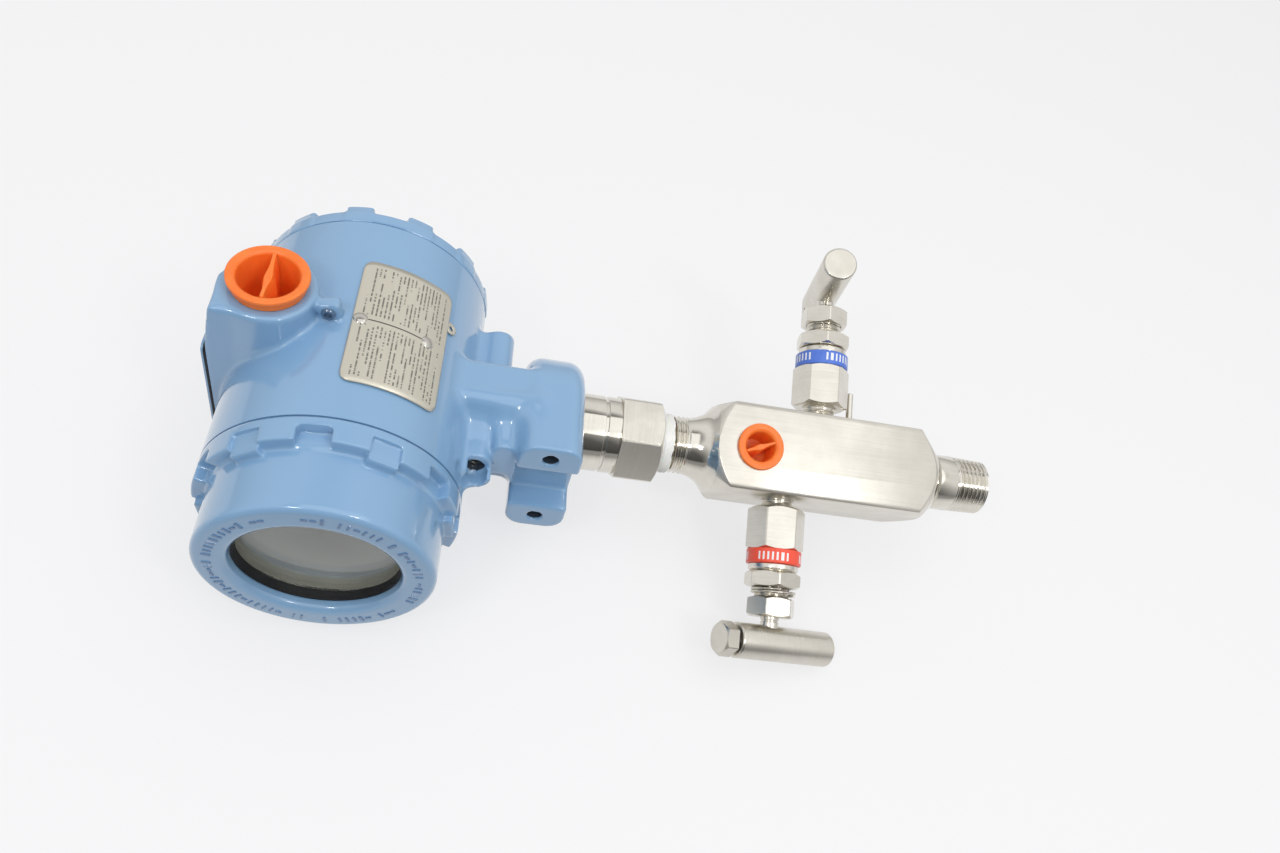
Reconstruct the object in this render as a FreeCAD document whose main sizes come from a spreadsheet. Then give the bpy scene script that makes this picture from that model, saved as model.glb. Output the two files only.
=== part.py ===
import FreeCAD, Part
import os
import re
import Sketcher

# Pressure transmitter screwed on a two-valve block-and-bleed manifold, sizes in millimetres and degrees.
# The frame is the unit as it stands in use: the lower pipe thread ends at the origin, Z runs up its axis,
# the window looks along -Y and the open conduit entry is on +X.

os.makedirs("parts", exist_ok=True)
doc = FreeCAD.newDocument("pressure_transmitter")
sheet = doc.addObject("Spreadsheet::Sheet", "sizes")

SIZES = [
    # Manifold bar and its pipe threads
    ("clock", "-24.7", "turn of the manifold about the process axis"),
    ("bar_width", "31.75", "square bar across flats"),
    ("pipe_r", "10.67", "half-inch pipe thread, outside"),
    ("pipe_length", "21", "lower pipe thread with its plain collar"),
    ("bar_corner_r", "22.6", "turned radius over the bar's corners"),
    ("lower_cone", "11.9", "height of the lower turned cone"),
    ("bar_top", "105.5", "height where the upper cone starts"),
    ("shoulder_r", "15.9", "radius where the upper cone meets the flare"),
    ("upper_cone", "5.7", "height of the upper cone"),
    ("flare_r", "12.4", "radius half way up the flare"),
    ("flare_low", "4", "height of the lower half of the flare"),
    ("flare_high", "5", "height of the upper half of the flare"),
    ("thread_gap", "10.5", "upper thread seen below the connector"),
    ("thread_hold", "12.5", "upper thread inside the connector"),
    ("flow_r", "3", "main flow bore"),
    ("isolate_z", "67.9", "height of the isolate valve"),
    ("vent_z", "82.3", "height of the vent valve"),
    ("port_z", "95.8", "height of the vent port"),
    ("port_r", "6.6", "vent port bore"),
    ("port_depth", "12.9", "vent port depth"),
    ("passage_r", "1.5", "passage from vent valve to port"),
    ("passage_in", "4.5", "passage distance from the axis towards the port"),
    ("passage_side", "6", "passage distance from the axis towards the vent valve"),
    ("lock_pin_r", "1.3", "lock pin radius"),
    ("lock_pin_rise", "14", "lock pin above the bar"),
    ("lock_pin_sunk", "6", "lock pin inside the bar"),
    ("lock_pin_drop", "12.5", "lock pin below the isolate axis"),
    # Valves
    ("isolate_stand", "6.1", "isolate bonnet neck between bar and hexagon"),
    ("vent_stand", "3", "vent bonnet neck between bar and hexagon"),
    ("bonnet_insert", "10", "bonnet shank inside the bar"),
    ("bonnet_neck_r", "6", "bonnet neck and shank"),
    ("bonnet_flats", "19", "bonnet hexagon across flats"),
    ("bonnet_hex", "15.6", "bonnet hexagon length"),
    ("band_length", "5.4", "label band length"),
    ("band_seat_r", "8.6", "bonnet radius under the band"),
    ("band_r", "10.1", "label band outside"),
    ("bonnet_end", "2.8", "bonnet collar beyond the band"),
    ("bonnet_end_r", "9.2", "bonnet collar radius"),
    ("nut_flats", "18.5", "lock nut across flats"),
    ("nut_length", "5.5", "lock nut length"),
    ("gland_gap", "3.8", "thread seen between lock nut and gland nut"),
    ("bonnet_thread_r", "6.6", "bonnet top thread"),
    ("gland_flats", "16", "gland nut across flats"),
    ("gland_length", "6.9", "gland nut length"),
    ("gland_engage", "4.4", "gland nut depth over the bonnet thread"),
    ("packing_r", "5", "packing outside"),
    ("packing_length", "6.5", "packing length"),
    ("packing_proud", "0.5", "packing above the bonnet"),
    ("stem_r", "3.4", "valve stem"),
    ("running_gap", "0.05", "radial clearance of turning and sliding fits"),
    ("stem_show", "2.9", "stem seen between gland nut and bar handle"),
    ("stem_bed", "4", "stem beyond the middle of the bar handle"),
    ("stem_end_in", "3", "stem end above the bonnet's lower end"),
    ("tip_r", "3", "stem tip"),
    ("tip_stub_r", "1.7", "stub of the stem tip in the stem"),
    ("tip_stub", "5", "length of that stub"),
    ("tip_reach", "3.4", "distance of the tip's end from the flow axis"),
    ("tip_cone", "2", "cone at the end of the tip"),
    ("tip_end_r", "1.2", "flat at the end of the tip"),
    ("handle_r", "6.35", "bar handle radius"),
    ("handle_long", "26.7", "bar handle, long side"),
    ("handle_short", "15.3", "bar handle, bolt side"),
    ("handle_edge", "0.6", "bevel at the ends of the bar handle"),
    ("bolt_r", "2.5", "handle bolt shank"),
    ("bolt_flats", "11", "handle bolt head across flats"),
    ("bolt_head", "6.4", "handle bolt head height"),
    ("isolate_handle_turn", "-11.6", "isolate bar handle at rest"),
    ("vent_handle_turn", "-108", "vent bar handle at rest"),
    ("isolate_bonnet_turn", "17.5", "isolate bonnet hexagon"),
    ("vent_bonnet_turn", "37", "vent bonnet hexagon"),
    ("isolate_nut_turn", "-11.5", "isolate lock nut at rest"),
    ("vent_nut_turn", "5", "vent lock nut at rest"),
    ("isolate_gland_turn", "-7", "isolate gland nut at rest"),
    ("vent_gland_turn", "29", "vent gland nut at rest"),
    ("ring_r", "7.8", "wire ring, middle of the wire"),
    ("ring_wire_r", "0.6", "wire radius"),
    ("ring_lift", "0.9", "wire ring beyond the lock nut"),
    # Shipping plug of the vent port
    ("port_flange_r", "8.5", "vent port plug flange"),
    ("port_flange", "1.7", "vent port plug flange thickness"),
    ("port_cup", "11", "vent port plug depth"),
    ("port_cup_wall", "1.1", "vent port plug wall"),
    ("port_web", "1.8", "vent port plug web"),
    # Process connector and sensor
    ("connector_flats", "28.6", "connector hexagon across flats"),
    ("connector_hex", "15.5", "connector hexagon height"),
    ("connector_turn", "19.2", "turn of the connector hexagon"),
    ("connector_r", "13.86", "connector collar radius"),
    ("connector_hold", "5.3", "connector collar inside the neck"),
    ("groove_depth", "0.9", "groove in the collar"),
    ("groove_width", "1.2", "groove in the collar"),
    ("groove_rise", "4.8", "groove above the hexagon"),
    ("tape_height", "4.6", "sealing tape seen below the connector"),
    ("tape_thick", "0.35", "sealing tape build-up"),
    ("sensor_r", "12.5", "sensor module"),
    ("sensor_height", "12", "sensor module"),
    ("sensor_port_r", "4", "passage from connector to sensor"),
    # Housing
    ("axis_height", "239", "housing axis above the thread tip"),
    ("housing_mid", "2.85", "middle of the housing behind the process axis"),
    ("housing_length", "83.4", "housing between the two parting lines"),
    ("housing_r", "41", "housing radius"),
    ("cover_thread_r", "36", "thread of both covers"),
    ("cover_engage", "11", "cover skirt inside the housing"),
    ("cover_bore_spare", "1", "housing bore beyond the skirt"),
    ("cavity_r", "34.5", "housing cavities"),
    ("partition_front", "14", "front face of the partition before the process axis"),
    ("partition", "5", "partition between the cavities"),
    ("neck_bore_spare", "1", "neck bore above the sensor"),
    ("wire_passage_r", "4", "passage from the neck to the rear cavity"),
    ("conduit_rise", "26.4", "conduit axis above the housing axis"),
    ("conduit_boss_r", "14.7", "conduit boss"),
    ("conduit_span", "94.6", "across both conduit bosses"),
    ("conduit_r", "10.4", "conduit entry"),
    ("block_front", "10.35", "front face of the top block before the process axis"),
    ("block_depth", "15", "top block, front to rear"),
    ("block_rise", "44", "flat top above the housing axis"),
    ("block_flat", "56", "width of the flat top"),
    ("block_shoulder", "41.2", "ends of the top block above the housing axis"),
    ("web_width", "46", "neck web across"),
    ("web_front", "10.1", "neck web before the process axis"),
    ("web_rear", "7.4", "neck web behind the process axis"),
    ("neck_top", "182", "top of the bracket block"),
    ("neck_bottom", "161", "bottom of the bracket block"),
    ("neck_r", "24", "bracket block radius"),
    ("neck_top_r", "20", "bracket block radius at its top"),
    ("neck_low_r", "16.8", "bracket block radius at its bottom"),
    ("neck_top_bevel", "4.5", "height of the upper rounding"),
    ("neck_low_bevel", "7", "height of the lower rounding"),
    ("lug_front", "27.5", "bracket faces before the process axis"),
    ("lug_slot", "22", "gap between the bracket lugs"),
    ("lug_slot_depth", "9", "depth of that gap"),
    ("bracket_hole_r", "2.75", "bracket hole"),
    ("bracket_hole_depth", "14", "bracket hole"),
    ("bracket_pitch", "34.7", "between the bracket holes"),
    ("bracket_z", "171.6", "height of the bracket holes"),
    ("jam_boss_r", "5.6", "jam screw boss"),
    ("jam_boss_x", "8", "jam screw boss to the side"),
    ("jam_boss_drop", "43.5", "jam screw boss below the housing axis"),
    ("jam_boss_front", "32", "jam screw boss before the process axis"),
    ("jam_boss_rear", "28.6", "jam screw boss behind the process axis"),
    ("jam_cup", "5.4", "open cup in the front of the jam screw boss"),
    ("jam_cup_r", "4.3", "inside of that cup"),
    ("jam_cup_side", "2.6", "side of that cup next to the housing"),
    ("jam_hole_r", "3.1", "jam screw hole"),
    ("jam_hole_depth", "12", "jam screw hole"),
    ("jam_sunk", "2.5", "jam screw below its boss face"),
    ("side_boss_r", "3.5", "rounded rib beside the jam screw boss"),
    ("side_boss_x", "12.3", "rounding of that rib to the side"),
    ("side_boss_drop", "51.7", "that rib below the housing axis"),
    ("side_boss_front", "23.3", "that rib before the process axis"),
    ("side_boss_rear", "5", "that rib behind the process axis, within the web"),
    ("rear_boss_r", "5.3", "rear boss under the housing"),
    ("rear_boss_x", "10", "rear boss to the side"),
    ("rear_boss_drop", "47", "rear boss below the housing axis"),
    ("ground_lug_width", "4.4", "ground lug along the housing"),
    ("ground_lug_height", "7.2", "ground lug around the housing"),
    ("ground_lug_reach", "47", "ground lug end from the housing axis"),
    ("ground_lug_y", "0.8", "middle of the ground lug behind the process axis"),
    ("ground_lug_turn", "10.5", "ground lug around the housing"),
    ("ground_screw_reach", "43.9", "ground screw from the housing axis"),
    ("ground_screw_r", "1.5", "ground screw shank"),
    ("ground_head_r", "2.3", "ground screw head"),
    ("ground_head", "1.1", "ground screw head"),
    ("ground_sunk", "3.4", "ground screw shank in the lug"),
    # Covers and window
    ("skirt_wall", "4", "cover skirt wall"),
    ("flange_r", "41", "cover flange"),
    ("front_flange", "8.7", "front cover flange width"),
    ("front_r", "36.5", "front cover barrel"),
    ("front_length", "29.65", "front cover beyond the parting line"),
    ("front_edge", "2.2", "rounding of the front edge"),
    ("window_r", "25.6", "window opening at the front face"),
    ("window_throat_r", "25.3", "window opening at the gasket"),
    ("window_lip", "4", "lip before the gasket"),
    ("glass_r", "29", "glass and gasket pocket"),
    ("gasket", "3.3", "window gasket"),
    ("gasket_r", "24.9", "window gasket opening"),
    ("glass", "8", "glass thickness"),
    ("ring_width", "3", "retaining ring along the axis"),
    ("ring_bore_r", "25.5", "retaining ring bore"),
    ("notch_count", "6", "notches in the front flange"),
    ("notch_width", "10.4", "notch width"),
    ("notch_start", "3.5", "notch from the parting line"),
    ("notch_floor_r", "37", "notch floor"),
    ("notch_turn", "5.8", "first notch"),
    ("pad_turn", "35.8", "first pad"),
    ("pad_width", "9.6", "pad width"),
    ("pad_floor_r", "39.4", "pad face"),
    ("pad_reach", "11", "pad from the parting line"),
    ("rear_flange", "5.2", "rear cover flange width"),
    ("rear_cap_r", "36.5", "rear cover plate"),
    ("rear_cap", "6.4", "rear cover plate beyond the parting line"),
    ("rear_wall", "5", "rear cover plate thickness"),
    ("rear_lug_count", "12", "lugs on the rear flange"),
    ("rear_lug_width", "9.4", "rear lug width"),
    ("rear_lug", "8.2", "rear lugs beyond the parting line"),
    ("rear_lug_turn", "-10", "first rear lug"),
    ("o_ring_r", "1.45", "cover seal section"),
    ("o_ring_groove", "3.1", "seal groove width"),
    ("o_ring_back", "0.6", "seal groove behind the parting line"),
    # Plates, plugs and inner pieces
    ("plate_thick", "0.5", "nameplate thickness"),
    ("plate_length", "50.8", "nameplate along the housing"),
    ("plate_y", "0.1", "middle of the nameplate behind the process axis"),
    ("plate_sweep", "44", "nameplate around the housing"),
    ("plate_start", "-42.6", "lower edge of the nameplate"),
    ("rivet_r", "1.3", "rivet shank"),
    ("rivet_head_r", "2.5", "rivet head"),
    ("rivet_head", "1.1", "rivet head"),
    ("rivet_sunk", "3.5", "rivet shank in the housing"),
    ("rivet_high_turn", "-1.9", "upper rivet"),
    ("rivet_low_turn", "-32.9", "lower rivet"),
    ("top_gasket", "0.7", "sheet under the top plate"),
    ("top_plate", "0.8", "top plate thickness"),
    ("top_margin", "1", "top plate inside the flat top"),
    ("top_screw_r", "1.5", "top plate screw"),
    ("top_screw_head_r", "2.7", "top plate screw head"),
    ("top_screw_head", "1.4", "top plate screw head"),
    ("top_screw_sunk", "6", "top plate screw in the housing"),
    ("top_screw_span", "44", "between the top plate screws"),
    ("plug_r", "12.36", "conduit plug flange"),
    ("plug_flange", "1.4", "conduit plug flange thickness"),
    ("plug_stand", "3.2", "conduit plug flange off the boss"),
    ("plug_neck_r", "11.3", "conduit plug between the boss and its flange"),
    ("plug_cup", "15", "conduit plug depth in the boss"),
    ("plug_wall", "1.1", "conduit plug wall"),
    ("plug_web", "2.4", "conduit plug web"),
    ("blank_length", "15", "blanking plug"),
    ("socket_flats", "9.5", "blanking plug socket"),
    ("socket_depth", "8", "blanking plug socket"),
    ("standoff_r", "2.5", "board post"),
    ("standoff", "4", "board post"),
    ("standoff_span", "40", "between board posts"),
    ("board_r", "31", "electronics board"),
    ("board", "2", "electronics board"),
    ("display_stub_r", "9", "display plug on the board"),
    ("display_stub", "5", "display plug on the board"),
    ("display_r", "30.5", "display disc"),
    ("display", "7", "display disc"),
    ("terminal_width", "46", "terminal block"),
    ("terminal_height", "24", "terminal block"),
    ("terminal_depth", "16", "terminal block"),
    ("terminal_drop", "14", "terminal block below the housing axis"),
    ("terminal_pitch", "14", "between terminal screws"),
    ("terminal_screw_r", "2", "terminal screw"),
    ("terminal_head_r", "3.4", "terminal screw head"),
    ("terminal_head", "2.2", "terminal screw head"),
    ("terminal_sunk", "7", "terminal screw in its block"),
    ("terminal_screw_rise", "3", "terminal screws above the housing axis"),
]

ALIASES = {alias for alias, value, note in SIZES}
for row, (alias, value, note) in enumerate(SIZES, start=1):
    sheet.set(f"A{row}", alias)
    sheet.set(f"B{row}", value)
    sheet.set(f"C{row}", note)
    sheet.setAlias(f"B{row}", alias)
doc.recompute()

UPRIGHT = "rotation(vector(0; 0; 1); 0)"
FORWARD = "rotation(vector(1; 0; 0); 90)"
REARWARD = "rotation(vector(1; 0; 0); -90)"
SIDEWARD = "rotation(vector(0; 1; 0); 90)"
OTHER_SIDE = "rotation(vector(0; 1; 0); -90)"
ORIGIN = ("0", "0", "0")
CLOCKED = "rotation(vector(0; 0; 1); clock)"
SAME_SIZE = 1e-5


def bound(text):
    """Expression text with every size written as a cell of the sheet."""
    return re.sub(r"[a-z]\w*", lambda m: "sizes." + m.group(0) if m.group(0) in ALIASES else m.group(0), text)


def place(obj, at, turn):
    """Binds the place of a piece: three coordinates and a rotation."""
    obj.setExpression("Placement", bound(f"placement(vector({at[0]}; {at[1]}; {at[2]}); {turn})"))
    return obj


def spun(turn, angle):
    """A rotation followed by a turn about the piece's own Z."""
    return f"{turn} * rotation(vector(0; 0; 1); {angle})"


def clocked(along, across, up):
    """A point given along the vent port, across it towards the isolate valve, and up."""
    x = f"({along}) * cos(clock) - ({across}) * sin(clock)"
    y = f"({along}) * sin(clock) + ({across}) * cos(clock)"
    return (x, y, up)


def cylinder(name, radius, height, at=ORIGIN, turn=UPRIGHT):
    obj = doc.addObject("Part::Cylinder", name)
    obj.setExpression("Radius", bound(radius))
    obj.setExpression("Height", bound(height))
    return place(obj, at, turn)


def sector(name, radius, height, sweep, at, turn):
    obj = cylinder(name, radius, height, at, turn)
    obj.setExpression("Angle", bound(sweep))
    return obj


def box(name, length, width, height, at, turn=UPRIGHT):
    obj = doc.addObject("Part::Box", name)
    obj.setExpression("Length", bound(length))
    obj.setExpression("Width", bound(width))
    obj.setExpression("Height", bound(height))
    return place(obj, at, turn)


def hexagon(name, flats, height, at=ORIGIN, turn=UPRIGHT):
    obj = doc.addObject("Part::Prism", name)
    obj.Polygon = 6
    obj.setExpression("Circumradius", bound(f"({flats}) / sqrt(3)"))
    obj.setExpression("Height", bound(height))
    return place(obj, at, turn)


def torus(name, middle_r, wire_r, at, turn):
    obj = doc.addObject("Part::Torus", name)
    obj.setExpression("Radius1", bound(middle_r))
    obj.setExpression("Radius2", bound(wire_r))
    return place(obj, at, turn)


def fuse(name, *pieces):
    obj = doc.addObject("Part::MultiFuse", name)
    obj.Shapes = list(pieces)
    obj.Refine = True
    return obj


def cut(name, base, *tools):
    """Takes the tools away one after another; the last cut carries the name."""
    for left, tool in zip(range(len(tools) - 1, -1, -1), tools):
        obj = doc.addObject("Part::Cut", f"{name}_{left}_to_cut" if left else name)
        obj.Base = base
        obj.Tool = tool
        obj.Refine = True
        base = obj
    return base


def common(name, first, second):
    obj = doc.addObject("Part::Common", name)
    obj.Base = first
    obj.Tool = second
    obj.Refine = True
    return obj


def group(name, *pieces):
    obj = doc.addObject("Part::Compound", name)
    obj.Links = list(pieces)
    return obj


def origin_feature(body, role):
    return next(item for item in body.Origin.OriginFeatures if item.Role == role)


def outline(body, name, points):
    """A closed sketch on the body's XZ plane, each corner held at its two sizes."""
    sketch = body.newObject("Sketcher::SketchObject", name)
    sketch.AttachmentSupport = [(origin_feature(body, "XZ_Plane"), "")]
    sketch.MapMode = "FlatFace"
    count = len(points)
    start = [FreeCAD.Vector(evaluate(across), evaluate(up), 0) for across, up in points]
    for index in range(count):
        sketch.addGeometry(Part.LineSegment(start[index], start[(index + 1) % count]), False)
    for index in range(count):
        sketch.addConstraint(Sketcher.Constraint("Coincident", index, 2, (index + 1) % count, 1))
    for index, (across, up) in enumerate(points):
        for kind, text, value in (("DistanceX", across, start[index].x), ("DistanceY", up, start[index].y)):
            number = sketch.addConstraint(Sketcher.Constraint(kind, -1, 1, index, 1, value))
            sketch.setExpression(f"Constraints[{number}]", bound(text))
    return sketch


def evaluate(text):
    """The present value of a size expression."""
    value = sheet.evalExpression(bound(text).replace("sizes.", ""))
    return float(getattr(value, "Value", value))


def turned(name, points, at=ORIGIN, turn=UPRIGHT):
    """A turned piece: its outline holds radius and height for each corner."""
    body = doc.addObject("PartDesign::Body", name)
    sketch = outline(body, f"{name}_outline", points)
    solid = body.newObject("PartDesign::Revolution", f"{name}_turned")
    solid.Profile = sketch
    solid.ReferenceAxis = (sketch, ["V_Axis"])
    solid.Angle = 360
    body.Tip = solid
    place(body, at, turn)
    doc.recompute()
    return body


def extruded(name, points, depth, at):
    """A prism with its outline in X and Z, reaching forward along -Y."""
    body = doc.addObject("PartDesign::Body", name)
    sketch = outline(body, f"{name}_outline", points)
    solid = body.newObject("PartDesign::Pad", f"{name}_pad")
    solid.Profile = sketch
    solid.setExpression("Length", bound(depth))
    body.Tip = solid
    place(body, at, UPRIGHT)
    doc.recompute()
    return body


def rounded(body, radius, edge_r, edge_z):
    """Rounds the circular edge of the given radius and height on a turned piece."""
    base = body.Tip
    wanted_r = evaluate(edge_r)
    wanted_z = evaluate(edge_z)
    names = []
    for index, edge in enumerate(base.Shape.Edges, start=1):
        if edge.Curve.TypeId == "Part::GeomCircle" and len(edge.Vertexes) == 1:
            same_r = abs(edge.Curve.Radius - wanted_r) < SAME_SIZE
            same_z = abs(edge.Curve.Center.z - wanted_z) < SAME_SIZE
            if same_r and same_z:
                names.append(f"Edge{index}")
    fillet = body.newObject("PartDesign::Fillet", f"{body.Name}_rounding")
    fillet.Base = (base, names)
    fillet.setExpression("Radius", bound(radius))
    body.Tip = fillet
    doc.recompute()
    return body


def repeated_box(body, kind, name, size, at, turn, count):
    """A box added to or cut from a turned piece and repeated around its axis."""
    feature = body.newObject(f"PartDesign::{kind}Box", name)
    for side, text in zip(("Length", "Width", "Height"), size):
        feature.setExpression(side, bound(text))
    place(feature, at, turn)
    body.Tip = feature
    doc.recompute()
    pattern = body.newObject("PartDesign::PolarPattern", f"{name}_pattern")
    pattern.Originals = [feature]
    pattern.Axis = (origin_feature(body, "Z_Axis"), [""])
    pattern.Angle = 360
    pattern.setExpression("Occurrences", bound(count))
    body.Tip = pattern
    doc.recompute()
    return body


# Shared heights and planes, written once
FLARE_START = "(bar_top + upper_cone)"
FLARE_END = f"({FLARE_START} + flare_low + flare_high)"
CONNECTOR_BASE = f"({FLARE_END} + thread_gap)"
THREAD_TOP = f"({CONNECTOR_BASE} + thread_hold)"
HEX_TOP = f"({CONNECTOR_BASE} + connector_hex)"
CONNECTOR_TOP = "(neck_bottom + connector_hold)"
FRONT_PLANE = "(housing_mid - housing_length / 2)"
REAR_PLANE = "(housing_mid + housing_length / 2)"
CONDUIT_Z = "(axis_height + conduit_rise)"
BLOCK_MID = "(block_depth / 2 - block_front)"
GROUND_FACE = "(ground_lug_y - ground_lug_width / 2)"
COVER_BORE_R = "(cover_thread_r + running_gap)"
STEM_BORE_R = "(stem_r + running_gap)"
BAND_START = "bonnet_hex"
END_START = f"({BAND_START} + band_length)"
NUT_START = f"({END_START} + bonnet_end)"
RING_START = f"({NUT_START} + nut_length)"
GLAND_START = f"({RING_START} + gland_gap)"
GLAND_FLOOR = f"({GLAND_START} + gland_engage)"
GLAND_END = f"({GLAND_START} + gland_length)"
HANDLE_AXIS = f"({GLAND_END} + stem_show + handle_r)"
BONNET_TOP = f"({GLAND_FLOOR} - packing_proud)"
PACKING_START = f"({GLAND_FLOOR} - packing_length)"
PORT_TURN = f"{CLOCKED} * {SIDEWARD}"
ISOLATE_TURN = f"{CLOCKED} * {REARWARD}"
VENT_TURN = f"{CLOCKED} * {FORWARD}"

nodes = {}


def make_manifold():
    """The square bar with its turned ends, valve bores, vent port and main bore."""
    profile = turned("manifold_profile", [
        ("0", "0"),
        ("pipe_r", "0"),
        ("pipe_r", "pipe_length"),
        ("bar_corner_r", "pipe_length + lower_cone"),
        ("bar_corner_r", "bar_top"),
        ("shoulder_r", FLARE_START),
        ("flare_r", f"{FLARE_START} + flare_low"),
        ("pipe_r", FLARE_END),
        ("pipe_r", THREAD_TOP),
        ("0", THREAD_TOP),
    ])
    bar = box("manifold_bar", "bar_width", "bar_width", THREAD_TOP,
              clocked("-bar_width / 2", "-bar_width / 2", "0"), CLOCKED)
    shape = common("manifold_shape", profile, bar)
    bores = [cylinder("flow_bore", "flow_r", THREAD_TOP)]
    for valve, turn, up in (("isolate", ISOLATE_TURN, "isolate_z"), ("vent", VENT_TURN, "vent_z")):
        side = 1 if valve == "isolate" else -1
        depth = f"{side} * (bar_width / 2 - bonnet_insert)"
        bores.append(cylinder(f"{valve}_bore", "bonnet_neck_r", "bonnet_insert",
                              clocked("0", depth, up), turn))
        bores.append(cylinder(f"{valve}_seat", STEM_BORE_R, "bar_width / 2 - bonnet_insert",
                              clocked("0", "0", up), turn))
    port_in = "bar_width / 2 - port_depth"
    bores.append(cylinder("vent_port", "port_r", "port_depth", clocked(port_in, "0", "port_z"), PORT_TURN))
    bores.append(cylinder("vent_passage", "passage_r", "port_z - vent_z",
                          clocked("passage_in", "-passage_side", "vent_z")))
    pin_at = clocked("0", "bar_width / 2 - lock_pin_sunk", "isolate_z - lock_pin_drop")
    bores.append(cylinder("lock_pin_hole", "lock_pin_r", "lock_pin_sunk", pin_at, ISOLATE_TURN))
    nodes["manifold_body"] = cut("manifold_body", shape, *bores)
    nodes["bonnet_lock_pin"] = cylinder("bonnet_lock_pin", "lock_pin_r", "lock_pin_sunk + lock_pin_rise",
                                        pin_at, ISOLATE_TURN)


def make_valve(valve, turn, side, up):
    """One needle valve, measured outwards from the base of its bonnet hexagon."""
    stand = f"{valve}_stand"
    shank = f"({stand} + bonnet_insert)"
    at = clocked("0", f"{side} * (bar_width / 2 + {stand})", up)
    shifted = clocked("0", f"{side} * (bar_width / 2 - bonnet_insert)", up)

    hexed = hexagon(f"{valve}_bonnet_hex", "bonnet_flats", "bonnet_hex", at,
                    spun(turn, f"{valve}_bonnet_turn"))
    core = turned(f"{valve}_bonnet_core", [
        ("0", "0"),
        ("bonnet_neck_r", "0"),
        ("bonnet_neck_r", shank),
        ("band_seat_r", shank),
        ("band_seat_r", f"{shank} + {END_START}"),
        ("bonnet_end_r", f"{shank} + {END_START}"),
        ("bonnet_end_r", f"{shank} + {NUT_START}"),
        ("bonnet_thread_r", f"{shank} + {NUT_START}"),
        ("bonnet_thread_r", f"{shank} + {BONNET_TOP}"),
        ("0", f"{shank} + {BONNET_TOP}"),
    ], shifted, turn)
    solid = fuse(f"{valve}_bonnet_solid", hexed, core)
    hole = turned(f"{valve}_bonnet_hole", [
        ("0", "0"),
        (STEM_BORE_R, "0"),
        (STEM_BORE_R, f"{shank} + {PACKING_START}"),
        ("packing_r", f"{shank} + {PACKING_START}"),
        ("packing_r", f"{shank} + {BONNET_TOP}"),
        ("0", f"{shank} + {BONNET_TOP}"),
    ], shifted, turn)
    nodes[f"{valve}_bonnet"] = cut(f"{valve}_bonnet", solid, hole)

    nodes[f"{valve}_label_band"] = turned(f"{valve}_label_band", [
        ("band_seat_r", BAND_START),
        ("band_r", BAND_START),
        ("band_r", END_START),
        ("band_seat_r", END_START),
    ], at, turn)

    nut = hexagon(f"{valve}_nut_hex", "nut_flats", RING_START, at, spun(turn, f"{valve}_nut_turn"))
    nut_low = cylinder(f"{valve}_nut_low", "nut_flats", NUT_START, at, turn)
    nut_hole = cylinder(f"{valve}_nut_hole", "bonnet_thread_r", RING_START, at, turn)
    nodes[f"{valve}_lock_nut"] = cut(f"{valve}_lock_nut", nut, nut_low, nut_hole)

    gland = hexagon(f"{valve}_gland_hex", "gland_flats", GLAND_END, at, spun(turn, f"{valve}_gland_turn"))
    gland_low = cylinder(f"{valve}_gland_low", "gland_flats", GLAND_START, at, turn)
    gland_thread = cylinder(f"{valve}_gland_thread", "bonnet_thread_r", GLAND_FLOOR, at, turn)
    gland_hole = cylinder(f"{valve}_gland_hole", STEM_BORE_R, GLAND_END, at, turn)
    nodes[f"{valve}_gland_nut"] = cut(f"{valve}_gland_nut", gland, gland_low, gland_thread, gland_hole)

    nodes[f"{valve}_packing"] = turned(f"{valve}_packing", [
        (STEM_BORE_R, PACKING_START),
        ("packing_r", PACKING_START),
        ("packing_r", GLAND_FLOOR),
        (STEM_BORE_R, GLAND_FLOOR),
    ], at, turn)

    nodes[f"{valve}_stem"] = turned(f"{valve}_stem", [
        ("tip_stub_r + running_gap", "stem_end_in"),
        ("stem_r", "stem_end_in"),
        ("stem_r", f"{shank} + {HANDLE_AXIS} + stem_bed"),
        ("0", f"{shank} + {HANDLE_AXIS} + stem_bed"),
        ("0", "stem_end_in + tip_stub + running_gap"),
        ("tip_stub_r + running_gap", "stem_end_in + tip_stub + running_gap"),
    ], shifted, turn)

    tip_at = clocked("0", f"{side} * tip_reach", up)
    tip_length = "(bar_width / 2 - bonnet_insert - tip_reach + stem_end_in - running_gap)"
    nodes[f"{valve}_stem_tip"] = turned(f"{valve}_stem_tip", [
        ("0", "0"),
        ("tip_end_r", "0"),
        ("tip_r", "tip_cone"),
        ("tip_r", tip_length),
        ("tip_stub_r", tip_length),
        ("tip_stub_r", f"{tip_length} + tip_stub"),
        ("0", f"{tip_length} + tip_stub"),
    ], tip_at, turn)

    along = f"{spun(turn, f'{valve}_handle_turn')} * {SIDEWARD}"
    bar_at = clocked("0", f"{side} * (bar_width / 2 + {stand} + {HANDLE_AXIS})", up)
    bar = turned(f"{valve}_handle_bar", [
        ("0", "-handle_short"),
        ("handle_r - handle_edge", "-handle_short"),
        ("handle_r", "-handle_short + handle_edge"),
        ("handle_r", "handle_long - handle_edge"),
        ("handle_r - handle_edge", "handle_long"),
        ("0", "handle_long"),
    ], bar_at, along)
    stem_hole = cylinder(f"{valve}_handle_hole", "stem_r", f"{HANDLE_AXIS} + stem_bed", at, turn)
    back_along = f"{spun(turn, f'{valve}_handle_turn')} * {OTHER_SIDE}"
    bolt_hole = cylinder(f"{valve}_bolt_hole", "bolt_r", "handle_short", bar_at, back_along)
    nodes[f"{valve}_handle"] = cut(f"{valve}_handle", bar, stem_hole, bolt_hole)

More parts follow.
